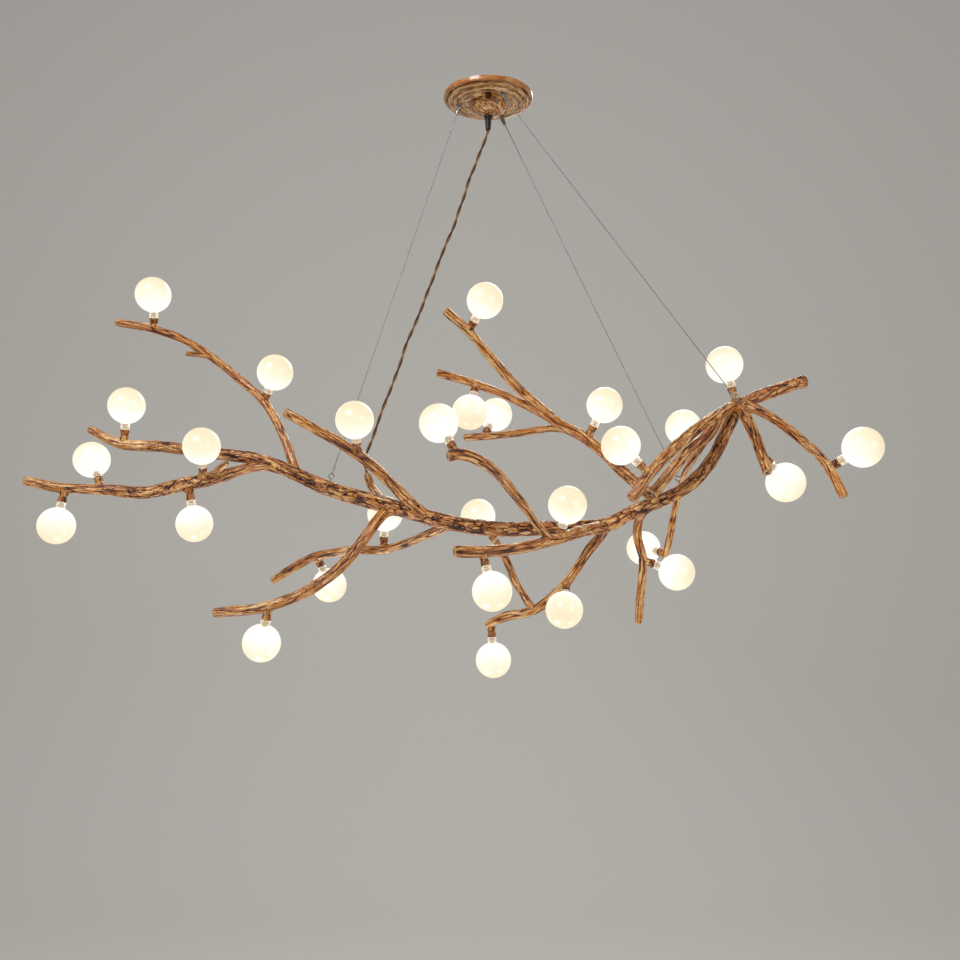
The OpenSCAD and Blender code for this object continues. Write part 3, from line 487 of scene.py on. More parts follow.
# ---- Wire grippers ----
# Nickel-plated brass: a flange and nut clamp the canopy, a barrel swivels under it, and the
# release button at the barrel's mouth frees the wire.
nickel = mottled("nickel plate", 3.33 * MM, "#9C978F", "#C9C5BE", (0.18, 0.32), {"Metallic": 1.0})
for name in ("wire_grippers", "gripper_button_left", "gripper_button_rear", "gripper_button_right"):
    finish_node(name, nickel)

# ---- Wire ends and screw eyes ----
# A crimped steel ferrule closes each wire's end loop, which hangs in a nickel-plated screw eye in
# the trunk.
finish_node("wire_ends", zinc)
finish_node("screw_eyes", nickel)

# ---- Trunk, left half ----
# The crooked main branch is taken as cast resin, in two castings that meet near the middle. Its
# left half carries five side branches and the short stub that takes the cord.
HANG = 725
RING_STEP = 13
LINE_STEP = 3.5
SEAT_LAP = 0.5 * MM
TIP_ROUND = 2.5
TIP_SHRINK = 0.78
STUB_RISE = 1
STUB_D = 11
STUB_SINK = 0.8
SIDES = 40
VOXEL = 1.1 * MM
TRUNK_JOINT = 715

# Routes are x, y, height above the trunk's middle and diameter, in millimetres
trunk_route = [
    (-660, 15, 160, 12), (-605, 10, 135, 16), (-535, 10, 130, 18), (-465, 5, 120, 18),
    (-365, 0, 105, 20), (-260, -5, 60, 24), (-155, -5, 30, 25), (-65, 0, 5, 24), (10, 5, -5, 24),
    (75, 5, -5, 23), (185, 0, 0, 23), (230, -5, 20, 22), (300, -15, 50, 21), (335, -20, 75, 21),
    (362, -25, 110, 20), (385, -25, 155, 20), (405, -25, 195, 20)]
cord_stub_route = [(-160, -5, 27, 20), (-175, 10, 43, 16), (-192, 20, 63, 13), (-200, 20, 85, 11)]
upper_left_route = [
    (-310, 0, 77, 18), (-340, 22, 150, 14), (-378, 52, 210, 14), (-415, 65, 245, 14),
    (-465, 70, 285, 13), (-520, 65, 320, 13), (-575, 60, 340, 13), (-635, 55, 350, 12)]
lower_left_route = [
    (-330, 0, 90, 18), (-370, 0, 97, 15), (-405, 0, 90, 16), (-448, 2, 77, 20), (-498, 8, 68, 22),
    (-563, 14, 55, 20), (-635, 15, 60, 17), (-700, 5, 62, 16), (-755, 0, 73, 14)]
cord_side_route = [
    (-105, -5, 17, 20), (-130, -15, 40, 18), (-155, -30, 65, 17), (-190, -40, 97, 17),
    (-230, -50, 125, 16), (-275, -60, 150, 15), (-320, -65, 175, 14)]
front_left_route = [
    (-155, -5, 27, 20), (-170, -20, 17, 17), (-185, -40, -5, 17), (-205, -50, -35, 17),
    (-235, -55, -70, 17), (-270, -60, -97, 17), (-310, -60, -117, 16), (-360, -60, -132, 16),
    (-425, -60, -138, 15)]
rear_left_route = [
    (-60, 0, 3, 18), (-90, 20, -10, 15), (-145, 55, -30, 14), (-185, 80, -38, 14),
    (-230, 100, -37, 14), (-275, 115, -43, 14), (-305, 125, -50, 14), (-335, 130, -65, 14),
    (-375, 130, -90, 13)]

# Distance along each side branch to the flat face where it seats
UPPER_LEFT_SEAT = 32
LOWER_LEFT_SEAT = 85
CORD_SIDE_SEAT = 52
FRONT_LEFT_SEAT = 34
REAR_LEFT_SEAT = 36


def course(route, step):
    """The smooth line of a branch, as rows of x, y, z and radius in metres."""
    rows = np.array(route, float) * (MM, MM, MM, MM / 2) - (0, 0, HANG * MM, 0)
    return smooth_line(rows, step * MM)


def seat_along(route, seat):
    """Distance along a branch to the ring where it seats."""
    along = travelled(course(route, RING_STEP))
    return along[np.argmax(along >= seat * MM)]


def limb(route, first=None, last=None, sawn=True):
    """The stretch of a branch between two seats; without a last seat it's sawn off at its end."""
    line = course(route, LINE_STEP)
    along = travelled(line)
    low = seat_along(route, first) - SEAT_LAP if first else 0
    high = seat_along(route, last) + SEAT_LAP if last else along[-1]
    kept = np.concatenate([[low], along[(along > low) & (along < high)], [high]])
    line = np.array([[np.interp(s, along, line[:, i]) for i in range(4)] for s in kept])
    to_tip, to_seat = np.ones(len(line)), np.ones(len(line))
    if first:
        to_seat = np.minimum(to_seat, kept - low)
    if last:
        to_seat = np.minimum(to_seat, high - kept)
    elif sawn:
        end = line[-1]
        ahead = end[:3] - line[-2, :3]
        ahead /= np.linalg.norm(ahead)
        for out, share in ((0.5, 0.96), (0.85, 0.88), (1.0, TIP_SHRINK)):
            out *= TIP_ROUND * MM
            line = np.vstack([line, np.append(end[:3] + ahead * out, end[3] * share)])
            kept = np.append(kept, high + out)
        to_tip = kept[-1] - kept
        to_seat = np.append(to_seat, [1.0] * 3)
    # the sum of its second point tells one branch's bark from another's
    return line, {"girth": line[:, 3], "along": kept, "to_tip": to_tip, "to_seat": to_seat,
                  "branch": sum(route[1]) / 100}


def stub(number, route, distance, azimuth, elevation, extra):
    """The stub of a bulb's socket, and where its flat end is and points."""
    rings = course(route, RING_STEP)
    at = travelled(rings)
    root = np.array([np.interp(distance * MM, at, rings[:, i]) for i in range(4)])
    level, up = math.radians(azimuth), math.radians(elevation)
    axis = np.array([math.cos(up) * math.cos(level), math.cos(up) * math.sin(level), math.sin(up)])
    top = root[3] + (STUB_RISE + extra) * MM
    sockets[number] = Vector(root[:3] + axis * top), Vector(axis)
    share = np.linspace(0, 1, 6)[:, None]
    line = np.hstack([root[:3] + axis * share * (top + STUB_SINK * MM),
                      (root[3] - 0.5 * MM) * (1 - share) + STUB_D / 2 * MM * share])
    return line, {"girth": line[:, 3], "along": top * share[:, 0], "to_tip": 1.0, "to_seat": 1.0,
                  "branch": number / 3}


# Tubes swept along the branches' lines. Each point keeps its place in the straightened branch as
# "grain", so that bark and stain can run lengthwise.
sweep, given = geometry_tree("branch sweep", {
    "Sides": "Int", "Swelling": "Float", "Swelling length": "Float"})
line = add(sweep, "GeometryNodeMeshToCurve", {"Mesh": given["Geometry"]})
along, branch, girth = [
    add(sweep, "GeometryNodeInputNamedAttribute", {"Name": name}, data_type="FLOAT")
    for name in ("along", "branch", "girth")]
swell = add(sweep, "ShaderNodeTexNoise", {
    "Vector": add(sweep, "ShaderNodeCombineXYZ", {"X": along, "Y": branch}),
    "Scale": add(sweep, "ShaderNodeMath", {0: 1.0, 1: given["Swelling length"]}, operation="DIVIDE"),
    "Detail": 1.0})
swell = add(sweep, "ShaderNodeMath", {0: swell, 1: 0.5}, operation="SUBTRACT")
swell = add(sweep, "ShaderNodeMath", {0: swell, 1: given["Swelling"], 2: 1.0}, operation="MULTIPLY_ADD")
swollen = add(sweep, "ShaderNodeMath", {0: girth, 1: swell}, operation="MULTIPLY")
tubes, rim = tube_round(sweep, line, swollen, given["Sides"])
round_part = add(sweep, "ShaderNodeVectorMath", {0: rim, "Scale": girth}, operation="SCALE")
long_part = add(sweep, "ShaderNodeCombineXYZ", {
    "Z": add(sweep, "ShaderNodeMath", {0: along, 1: branch}, operation="ADD")})
grain = add(sweep, "ShaderNodeVectorMath", {0: round_part, 1: long_part}, operation="ADD")
tubes = add(sweep, "GeometryNodeStoreNamedAttribute", {"Geometry": tubes, "Name": "grain", "Value": grain},
            data_type="FLOAT_VECTOR", domain="POINT")
add(sweep, "NodeGroupOutput", {"Geometry": tubes})

# How often the bark's grooves and cracks repeat, and how far they're drawn out along the grain.
# The stain follows the same lines, so that it sits in them.
GROOVE_SPACING = 8 * MM
GROOVE_STRETCH = (1.0, 1.0, 0.09)
CRACK_SPACING = 6.5 * MM
CRACK_STRETCH = (1.0, 1.0, 0.24)
CRACK_WANDER = 1.6
CRACK_PATCH = 13 * MM
THIN_R, THICK_R = 8.0 * MM, 11.0 * MM


def bark_lines(tree, grain, girth):
    """The patterns that bark and stain share: grooves, cracks, thickness and where cracks are."""
    grooves = add(tree, "ShaderNodeTexNoise", {
        "Vector": add(tree, "ShaderNodeVectorMath", {0: grain, 1: GROOVE_STRETCH}, operation="MULTIPLY"),
        "Scale": 1 / GROOVE_SPACING, "Detail": 1.0, "Distortion": 0.3})
    patches = add(tree, "ShaderNodeTexNoise", {"Vector": grain, "Scale": 1 / CRACK_PATCH, "Detail": 1.0})
    wander = add(tree, "ShaderNodeTexNoise", {"Vector": grain, "Scale": 0.5 / CRACK_SPACING, "Detail": 2.0})
    wander = add(tree, "ShaderNodeVectorMath", {
        0: wander.outputs["Color"], "Scale": CRACK_WANDER * CRACK_SPACING}, operation="SCALE")
    drawn_out = add(tree, "ShaderNodeVectorMath", {0: grain, 1: CRACK_STRETCH}, operation="MULTIPLY")
    cracks = add(tree, "ShaderNodeTexVoronoi", {
        "Vector": add(tree, "ShaderNodeVectorMath", {0: drawn_out, 1: wander}, operation="ADD"),
        "Scale": 1 / CRACK_SPACING}, feature="DISTANCE_TO_EDGE")
    thick = add(tree, "ShaderNodeMapRange", {0: girth, 1: THIN_R, 2: THICK_R, 3: 0.1, 4: 1.0})
    cracked = add(tree, "ShaderNodeMath", {
        0: thick, 1: add(tree, "ShaderNodeMapRange", {0: patches, 1: 0.36, 2: 0.5})}, operation="MULTIPLY")
    return grooves, cracks, thick, cracked


# The fused casting: its forks are rounded, but its seats stay square, and bark is raised on it.
# Thick wood gets pits and a network of cracks, and all of it gets ridges and grooves along the
# grain. A sawn tip gets a hollow pith.
relief, given = geometry_tree("bark relief", {
    "Sweep": "Object", "Rounding": "Int", "Square length": "Float", "Ridge spacing": "Float",
    "Ridge depth": "Float", "Groove depth": "Float", "Pit spacing": "Float", "Pit depth": "Float",
    "Crack depth": "Float", "Pith depth": "Float", "Plumping": "Float", "Finish": "Material"})
source = add(relief, "GeometryNodeObjectInfo", {"Object": given["Sweep"]}).outputs["Geometry"]
body = given["Geometry"]
for name, kind in (("grain", "FLOAT_VECTOR"), ("girth", "FLOAT"), ("to_tip", "FLOAT"),
                   ("to_seat", "FLOAT")):
    own = add(relief, "GeometryNodeInputNamedAttribute", {"Name": name}, data_type=kind)
    nearest = add(relief, "GeometryNodeSampleNearestSurface", {
        "Mesh": source, "Value": own}, data_type=kind)
    body = add(relief, "GeometryNodeStoreNamedAttribute", {"Geometry": body, "Name": name, "Value": nearest},
               data_type=kind, domain="POINT")
place = add(relief, "GeometryNodeInputPosition")
rounded = add(relief, "GeometryNodeBlurAttribute", {
    "Value": place, "Iterations": given["Rounding"]}, data_type="FLOAT_VECTOR")
grain = add(relief, "GeometryNodeInputNamedAttribute", {"Name": "grain"}, data_type="FLOAT_VECTOR")
girth, to_tip, to_seat = [
    add(relief, "GeometryNodeInputNamedAttribute", {"Name": name}, data_type="FLOAT")
    for name in ("girth", "to_tip", "to_seat")]
off_seat = add(relief, "ShaderNodeMath", {0: to_seat, 1: given["Square length"]},
               operation="DIVIDE", use_clamp=True)
place = add(relief, "ShaderNodeMix", {"Factor": off_seat, "A": place, "B": rounded}, data_type="VECTOR")
body = add(relief, "GeometryNodeSetPosition", {"Geometry": body, "Position": place.outputs["Result"]})
# each pattern's spacing, stretch along the grain, roughness and distortion
noises = []
for spacing, along_grain, rough, bent in (
        ("Ridge spacing", 0.12, 0.55, 0.4), ("Pit spacing", 0.5, 0.6, 0.8)):
    noises.append(add(relief, "ShaderNodeTexNoise", {
        "Vector": add(relief, "ShaderNodeVectorMath", {0: grain, 1: (1.0, 1.0, along_grain)},
                      operation="MULTIPLY"),
        "Scale": add(relief, "ShaderNodeMath", {0: 1.0, 1: given[spacing]}, operation="DIVIDE"),
        "Detail": 2.0, "Roughness": rough, "Distortion": bent}))
ridges, pits = noises
grooves, cracks, thick, cracked = bark_lines(relief, grain, girth)
off_groove = add(relief, "ShaderNodeMath", {
    0: add(relief, "ShaderNodeMath", {0: grooves, 1: 0.5}, operation="SUBTRACT")}, operation="ABSOLUTE")
height = 0.0
# each pattern, the values that lie lowest and highest in it, their heights, depth and where it is
for pattern, low, high, bottom, top, depth, share in (
        (ridges, 0.3, 0.7, -1.0, 1.0, "Ridge depth", 1.0), (pits, 0.3, 0.7, -1.0, 1.0, "Pit depth", thick),
        (off_groove, 0.0, 0.07, -1.0, 0.0, "Groove depth", 1.0),
        (cracks, 0.0, 0.2, -1.0, 0.0, "Crack depth", cracked)):
    part = add(relief, "ShaderNodeMapRange", {0: pattern, 1: low, 2: high, 3: bottom, 4: top})
    part = add(relief, "ShaderNodeMath", {0: part, 1: given[depth]}, operation="MULTIPLY")
    height = add(relief, "ShaderNodeMath", {0: part, 1: share, 2: height}, operation="MULTIPLY_ADD")
body = add(relief, "GeometryNodeStoreNamedAttribute", {"Geometry": body, "Name": "relief", "Value": height},
           data_type="FLOAT", domain="POINT")
height = add(relief, "GeometryNodeInputNamedAttribute", {"Name": "relief"}, data_type="FLOAT")
split = add(relief, "ShaderNodeSeparateXYZ", {0: grain}).outputs
off_axis = add(relief, "ShaderNodeVectorMath", {
    0: add(relief, "ShaderNodeCombineXYZ", {"X": split["X"], "Y": split["Y"]})}, operation="LENGTH")
share = add(relief, "ShaderNodeMath", {0: off_axis.outputs["Value"], 1: girth}, operation="DIVIDE")
in_pith = add(relief, "ShaderNodeMapRange", {0: share, 1: 0.62, 2: 0.3}, interpolation_type="SMOOTHSTEP")
at_tip = add(relief, "ShaderNodeMapRange", {0: to_tip, 1: 1.6 * MM, 2: 0.4 * MM},
             interpolation_type="SMOOTHSTEP")
pith = add(relief, "ShaderNodeMath", {0: in_pith, 1: at_tip}, operation="MULTIPLY")
for name, value in (("sawn", at_tip), ("pith", pith)):
    body = add(relief, "GeometryNodeStoreNamedAttribute", {"Geometry": body, "Name": name, "Value": value},
               data_type="FLOAT", domain="POINT")
sunk = add(relief, "ShaderNodeMath", {0: pith, 1: given["Pith depth"]}, operation="MULTIPLY")
lift = add(relief, "ShaderNodeMath", {0: height, 1: sunk}, operation="SUBTRACT")
lift = add(relief, "ShaderNodeMath", {0: lift, 1: given["Plumping"]}, operation="ADD")
outward = add(relief, "ShaderNodeVectorMath", {
    0: add(relief, "GeometryNodeInputNormal").outputs["Normal"], "Scale": lift}, operation="SCALE")
body = add(relief, "GeometryNodeSetPosition", {"Geometry": body, "Offset": outward})
body = add(relief, "GeometryNodeSetShadeSmooth", {"Geometry": body})
body = add(relief, "GeometryNodeRealizeInstances", {"Geometry": body})
body = add(relief, "GeometryNodeSetMaterial", {"Geometry": body, "Material": given["Finish"]})
add(relief, "NodeGroupOutput", {"Geometry": body})

# Cast resin stained by hand: nearly black stain sits in the grooves and cracks of the bark and
# amber gold on its ridges, under glossy lacquer. A sawn tip is pale round a dark pith, and the bore of each
# socket cup is painted near black through the same marks, as shade.
STREAK_WIDTH = 2.8 * MM
LINE_SPACING = 4.0 * MM
BLOTCH_WIDTH = 26 * MM
FLECK_WIDTH = 1.6 * MM

resin, tree = material("hand-stained cast resin")
grain = add(tree, "ShaderNodeAttribute", attribute_name="grain").outputs["Vector"]
girth, height, sawn, pith = [
    add(tree, "ShaderNodeAttribute", attribute_name=name).outputs["Fac"]
    for name in ("girth", "relief", "sawn", "pith")]


def thin_lines(noise, width):
    """Lines where a noise crosses its middle: 1 in the line and 0 beside it."""
    off = add(tree, "ShaderNodeMath", {
        0: add(tree, "ShaderNodeMath", {0: noise, 1: 0.5}, operation="SUBTRACT")}, operation="ABSOLUTE")
    return add(tree, "ShaderNodeMapRange", {0: off, 1: 0.0, 2: width, 3: 1.0, 4: 0.0})


# width of each pattern, its stretch along the grain, detail, roughness and distortion
noises = []
for width, along_grain, detail, rough, bent in (
        (STREAK_WIDTH, 0.12, 3.0, 0.6, 0.6), (LINE_SPACING, 0.1, 1.0, 0.5, 0.5),
        (FLECK_WIDTH, 0.3, 3.0, 0.65, 0.0), (BLOTCH_WIDTH, 0.5, 1.0, 0.5, 0.0)):
    noises.append(add(tree, "ShaderNodeTexNoise", {
        "Vector": add(tree, "ShaderNodeVectorMath", {0: grain, 1: (1.0, 1.0, along_grain)},
                      operation="MULTIPLY"),
        "Scale": 1 / width, "Detail": detail, "Roughness": rough, "Distortion": bent}))
streaks, fine_lines, flecks, blotches = noises
fine_lines = thin_lines(fine_lines, 0.04)
grooves, cracks, thick, cracked = bark_lines(tree, grain, girth)
grooves = thin_lines(grooves, 0.035)
crevices = add(tree, "ShaderNodeMath", {
    0: add(tree, "ShaderNodeMapRange", {0: cracks, 1: 0.0, 2: 0.12, 3: 1.0, 4: 0.0}), 1: cracked},
    operation="MULTIPLY")
stain = add(tree, "ShaderNodeMapRange", {0: height, 1: -2.4 * MM, 2: 0.5 * MM, 3: 0.2, 4: 0.4})
for pattern, weight in ((streaks, 0.5), (flecks, 0.22), (blotches, 0.24), (fine_lines, -0.18),
                        (grooves, -0.24), (crevices, -0.26)):
    stain = add(tree, "ShaderNodeMath", {0: pattern, 1: weight, 2: stain}, operation="MULTIPLY_ADD")
ramp = add(tree, "ShaderNodeValToRGB", {0: stain})
for place, code in ((0.46, "#140602"), (0.59, "#4E1F04"), (0.7, "#9A500D"), (0.81, "#CC7F28"),
                    (0.93, "#F6CE8C")):
    ramp.color_ramp.elements.new(place).color = paint(code)
ramp.color_ramp.elements.remove(ramp.color_ramp.elements[0])
ramp.color_ramp.elements.remove(ramp.color_ramp.elements[-1])
cut_wood_and_bore_shade = add(tree, "ShaderNodeMix", {
    "Factor": pith, "A": paint("#C29862"), "B": paint("#150A03")}, data_type="RGBA")
shade = add(tree, "ShaderNodeMix", {
    "Factor": sawn, "A": ramp, "B": cut_wood_and_bore_shade.outputs["Result"]}, data_type="RGBA")
fine_height = add(tree, "ShaderNodeMath", {0: flecks, 1: 0.6, 2: streaks}, operation="MULTIPLY_ADD")
for pattern, depth in ((fine_lines, -0.4), (grooves, -0.5), (crevices, -0.9)):
    fine_height = add(tree, "ShaderNodeMath", {
        0: pattern, 1: depth, 2: fine_height}, operation="MULTIPLY_ADD")
raised = add(tree, "ShaderNodeBump", {"Height": fine_height, "Distance": 0.9 * MM, "Strength": 0.85})
rough = add(tree, "ShaderNodeMapRange", {0: stain, 1: 0.4, 2: 0.9, 3: 0.55, 4: 0.3})
shader = add(tree, "ShaderNodeBsdfPrincipled", {
    "Base Color": shade.outputs["Result"], "Roughness": rough, "Normal": raised,
    "Coat Weight": add(tree, "ShaderNodeMapRange", {0: stain, 1: 0.5, 2: 0.85, 3: 0.1, 4: 0.8}),
    "Coat Roughness": 0.16, "Coat Normal": raised})
add(tree, "ShaderNodeOutputMaterial", {"Surface": shader})

sockets = {}


def cast(name, limbs):
    """Makes one casting from its limbs."""
    lines = new_object(name + " lines", lines_mesh(name + " lines", limbs))
    shape_with(lines, sweep, {"Sides": SIDES, "Swelling": 0.25, "Swelling length": 30 * MM})
    tubes = new_object(name + " tubes", plain_mesh(lines, name + " tubes"))
    fused = new_object(name + " fused", tubes.data.copy())
    fuse = fused.modifiers.new("fuse", "REMESH")
    fuse.mode = "VOXEL"
    fuse.voxel_size = VOXEL
    shape_with(fused, relief, {
        "Sweep": tubes, "Rounding": 8, "Square length": 4 * MM, "Ridge spacing": 4.5 * MM,
        "Ridge depth": 0.5 * MM, "Groove depth": 0.9 * MM, "Pit spacing": 11 * MM, "Pit depth": 0.7 * MM,
        "Crack depth": 1.2 * MM, "Pith depth": 2 * MM, "Plumping": 0.8 * MM, "Finish": resin})
    casting = new_object(name + "_bark", plain_mesh(fused, name + "_bark"))
    discard(lines, tubes, fused)
    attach(casting, "fixture")
    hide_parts(name)


cast("trunk_left", [
    limb(trunk_route, 0, TRUNK_JOINT),
    limb(cord_stub_route),
    limb(upper_left_route, 0, UPPER_LEFT_SEAT),
    limb(lower_left_route, 0, LOWER_LEFT_SEAT),
    limb(cord_side_route, 0, CORD_SIDE_SEAT),
    limb(front_left_route, 0, FRONT_LEFT_SEAT),
    limb(rear_left_route, 0, REAR_LEFT_SEAT),
    stub(2, trunk_route, 66, -60, 80, 6)])

# ---- Trunk, right half ----
# The second casting of the main branch, plugged on the left one by a spigot. It rises to a knot
# where four branches part, and carries the tall, lower, middle and drop branches below.
stump_route = [(405, -25, 195, 20), (455, -20, 215, 20), (515, -15, 235, 20)]
front_middle_route = [
    (190, 0, -2, 20), (150, -25, -10, 18), (110, -50, -23, 17), (70, -75, -33, 17),
    (25, -105, -42, 17), (-20, -130, -45, 17), (-50, -140, -45, 17)]
lower_fork_route = [
    (190, 0, -2, 18), (183, 12, -17, 15), (165, 25, -40, 15), (142, 35, -75, 15),
    (122, 40, -100, 15), (90, 55, -130, 16), (65, 65, -143, 16), (30, 80, -150, 15), (0, 95, -165, 15)]
tall_route = [
    (275, -10, 37, 22), (245, 10, 68, 19), (225, 20, 88, 19), (190, 35, 125, 18), (160, 38, 150, 18),
    (120, 38, 172, 17), (85, 35, 200, 17), (45, 28, 237, 16), (5, 18, 280, 15), (-32, 10, 323, 14),
    (-70, 0, 355, 14)]
drop_route = [
    (252, -8, 28, 18), (245, 10, 5, 14), (245, 20, -20, 13), (255, 32, -55, 13), (255, 42, -90, 13),
    (252, 50, -125, 13), (250, 55, -158, 12)]
front_right_route = [
    (405, -25, 193, 20), (380, -42, 183, 18), (325, -80, 147, 18), (280, -100, 110, 18),
    (245, -115, 75, 17), (215, -120, 35, 17)]
right_tip_route = [
    (405, -25, 193, 20), (428, -45, 183, 15), (455, -75, 157, 14), (480, -110, 123, 14),
    (498, -130, 97, 14), (510, -145, 70, 14), (522, -155, 37, 13)]
right_front_route = [(405, -25, 192, 20), (408, -60, 165, 17), (410, -105, 123, 16), (412, -150, 73, 14)]

FRONT_MIDDLE_SEAT = 44
LOWER_FORK_SEAT = 26
TALL_SEAT = 28
DROP_SEAT = 24
RIGHT_SEAT = 28

cast("trunk_right", [
    limb(trunk_route, TRUNK_JOINT, sawn=False),
    limb(stump_route),
    limb(front_middle_route, 0, FRONT_MIDDLE_SEAT),
    limb(lower_fork_route, 0, LOWER_FORK_SEAT),
    limb(tall_route, 0, TALL_SEAT),
    limb(drop_route, 0, DROP_SEAT),
    limb(front_right_route, 0, RIGHT_SEAT),
    limb(right_tip_route, 0, RIGHT_SEAT),
    limb(right_front_route, 0, RIGHT_SEAT),
    stub(24, trunk_route, 1176, 160, 75, 14)])

# ---- Upper left branch ----
# A casting of stained resin that rises from the trunk to the top left, with one short twig near
# its bend and two bulbs. A spigot on its root locates it in a fork of the trunk.
upper_left_twig = [(-475, 70, 292, 9), (-490, 67, 296, 9), (-515, 60, 297, 8)]
cast("upper_left_branch", [
    limb(upper_left_route, UPPER_LEFT_SEAT),
    limb(upper_left_twig),
    stub(1, upper_left_route, 398, -85, 75, 2),
    stub(7, upper_left_route, 163, -50, 50, 1)])

# ---- Lower left branch ----
# The thickest side branch, of stained resin: it runs left under the trunk's end, with a twig that
# turns back and four bulbs. It plugs into the trunk.
lower_left_twig = [(-459, 2, 76, 12), (-440, -8, 90, 10), (-424, -16, 100, 9)]
cast("lower_left_branch", [
    limb(lower_left_route, LOWER_LEFT_SEAT),
    limb(lower_left_twig),
    stub(3, lower_left_route, 312, 140, 55, 5),
    stub(4, lower_left_route, 140, -80, 50, 7),
    stub(5, lower_left_route, 370, -155, -80, 5),
    stub(6, lower_left_route, 166, 30, -80, 6)])

# ---- Cord side branch ----
# Stained resin: it rises to the left in front of the cord, with one bulb, and plugs into the
# trunk.
cast("cord_side_branch", [
    limb(cord_side_route, CORD_SIDE_SEAT),
    stub(8, cord_side_route, 146, -90, 50, 6)])

# ---- Front left branch ----
# Stained resin: it sweeps down to the left in front of the trunk, with a bulb that hangs from it.
# It plugs into the trunk.
cast("front_left_branch", [
    limb(front_left_route, FRONT_LEFT_SEAT),
    stub(11, front_left_route, 264, 130, -70, 4)])

# ---- Rear left branch ----
# Stained resin: it runs down to the left behind the trunk, with one bulb above it and one below,
# and plugs into the trunk.
cast("rear_left_branch", [
    limb(rear_left_route, REAR_LEFT_SEAT),
    stub(9, rear_left_route, 146, -60, 85, 4),
    stub(10, rear_left_route, 276, 50, -60, 2)])

# ---- Front middle branch ----
# Stained resin: it comes forward to the left from the trunk that it plugs into, with a crook that
# turns up and back to its own bulb.
crook_route = [
    (100, -55, -27, 12), (72, -85, 0, 11), (60, -95, 17, 12), (35, -110, 47, 14), (10, -125, 75, 15),
    (-18, -135, 93, 16), (-42, -140, 100, 17), (-60, -145, 97, 18)]
cast("front_middle_branch", [
    limb(front_middle_route, FRONT_MIDDLE_SEAT),
    limb(crook_route),
    stub(13, crook_route, 221, 145, 55, 3),
    stub(19, front_middle_route, 94, -75, 55, 3),
    stub(20, front_middle_route, 241, -20, -75, 3)])

# ---- Lower fork branch ----
# Stained resin: it plugs into the trunk, hangs down behind it and turns left, with a thin twig that
# rises from its bend.
rising_twig_route = [
    (75, 60, -137, 13), (65, 65, -123, 12), (45, 80, -90, 12), (33, 90, -60, 12), (14, 100, -23, 12)]
cast("lower_fork_branch", [
    limb(lower_fork_route, LOWER_FORK_SEAT),
    limb(rising_twig_route),
    stub(16, rising_twig_route, 132, 175, 55, 2),
    stub(21, lower_fork_route, 274, 40, -85, 5),
    stub(22, lower_fork_route, 117, -100, -45, 5)])

# ---- Tall branch ----
# The longest side branch, of stained resin: it plugs into the trunk and goes up to the left behind
# the middle, with a fork and a level side branch.
tall_fork_route = [
    (120, 40, 172, 14), (95, 45, 188, 13), (65, 50, 205, 13), (30, 55, 223, 13), (-5, 60, 238, 13),
    (-45, 60, 252, 13), (-85, 60, 263, 13)]
tall_side_route = [
    (140, 40, 160, 13), (110, 55, 167, 12), (60, 90, 165, 12), (5, 120, 163, 12), (-40, 135, 162, 12)]
cast("tall_branch", [
    limb(tall_route, TALL_SEAT),
    limb(tall_fork_route),
    limb(tall_side_route),
    stub(12, tall_route, 433, -45, 50, 2),
    stub(14, tall_fork_route, 160, -115, -65, 1),
    stub(15, tall_side_route, 171, 55, 50, 1),
    stub(17, tall_route, 164, -25, 60, 5)])

# ---- Drop branch ----
# Stained resin: it plugs into the trunk and hangs straight down behind it, with one bulb that
# points to the right and a little down.
cast("drop_branch", [
    limb(drop_route, DROP_SEAT),
    stub(28, drop_route, 96, 0, -20, 3)])

# ---- Front right branch ----
# Stained resin: it plugs into the knot and falls to the left in front of the trunk, with an inner
# branch beside it and a twig that drops from that.
inner_right_route = [
    (371, -48, 176, 15), (363, -44, 163, 16), (350, -42, 142, 17), (317, -48, 115, 17),
    (290, -52, 85, 17), (260, -55, 50, 16)]
falling_twig_route = [
    (350, -42, 142, 13), (340, -5, 117, 11), (328, 35, 90, 10), (325, 65, 63, 10), (320, 85, 33, 10),
    (315, 105, -10, 10), (307, 115, -50, 10)]
cast("front_right_branch", [
    limb(front_right_route, RIGHT_SEAT),
    limb(inner_right_route),
    limb(falling_twig_route),
    stub(18, front_right_route, 224, 180, 45, 3),
    stub(23, falling_twig_route, 45, 120, 55, 1),
    stub(27, falling_twig_route, 255, 125, 10, 1)])

# ---- Right tip branch ----
# Stained resin: it plugs into the knot and curves down to the right, with one bulb near its
# end.
cast("right_tip_branch", [
    limb(right_tip_route, RIGHT_SEAT),
    stub(26, right_tip_route, 195, -30, 30, 0)])

# ---- Right front branch ----
# A short one of stained resin, which plugs into the knot and comes straight forward and down,
# with one bulb.
cast("right_front_branch", [
    limb(right_front_route, RIGHT_SEAT),
    stub(25, right_front_route, 132, 20, -45, 4)])

# ---- Socket cups ----
# A thin metal cup on the flat end of every stub. It widens to its mouth, and is gnarled and
# stained like the bark; its bore is painted near black as shade.
CUP_H = 9.1 * MM
CUP_RIM_R = 7.4 * MM
CUP_BORE_R = 6.0 * MM
CUP_FLOOR = 1.5 * MM
CUP_SEGMENTS = 44
CUP_GIRTH = 9 * MM
CUP_STAIN = 1.0 * MM


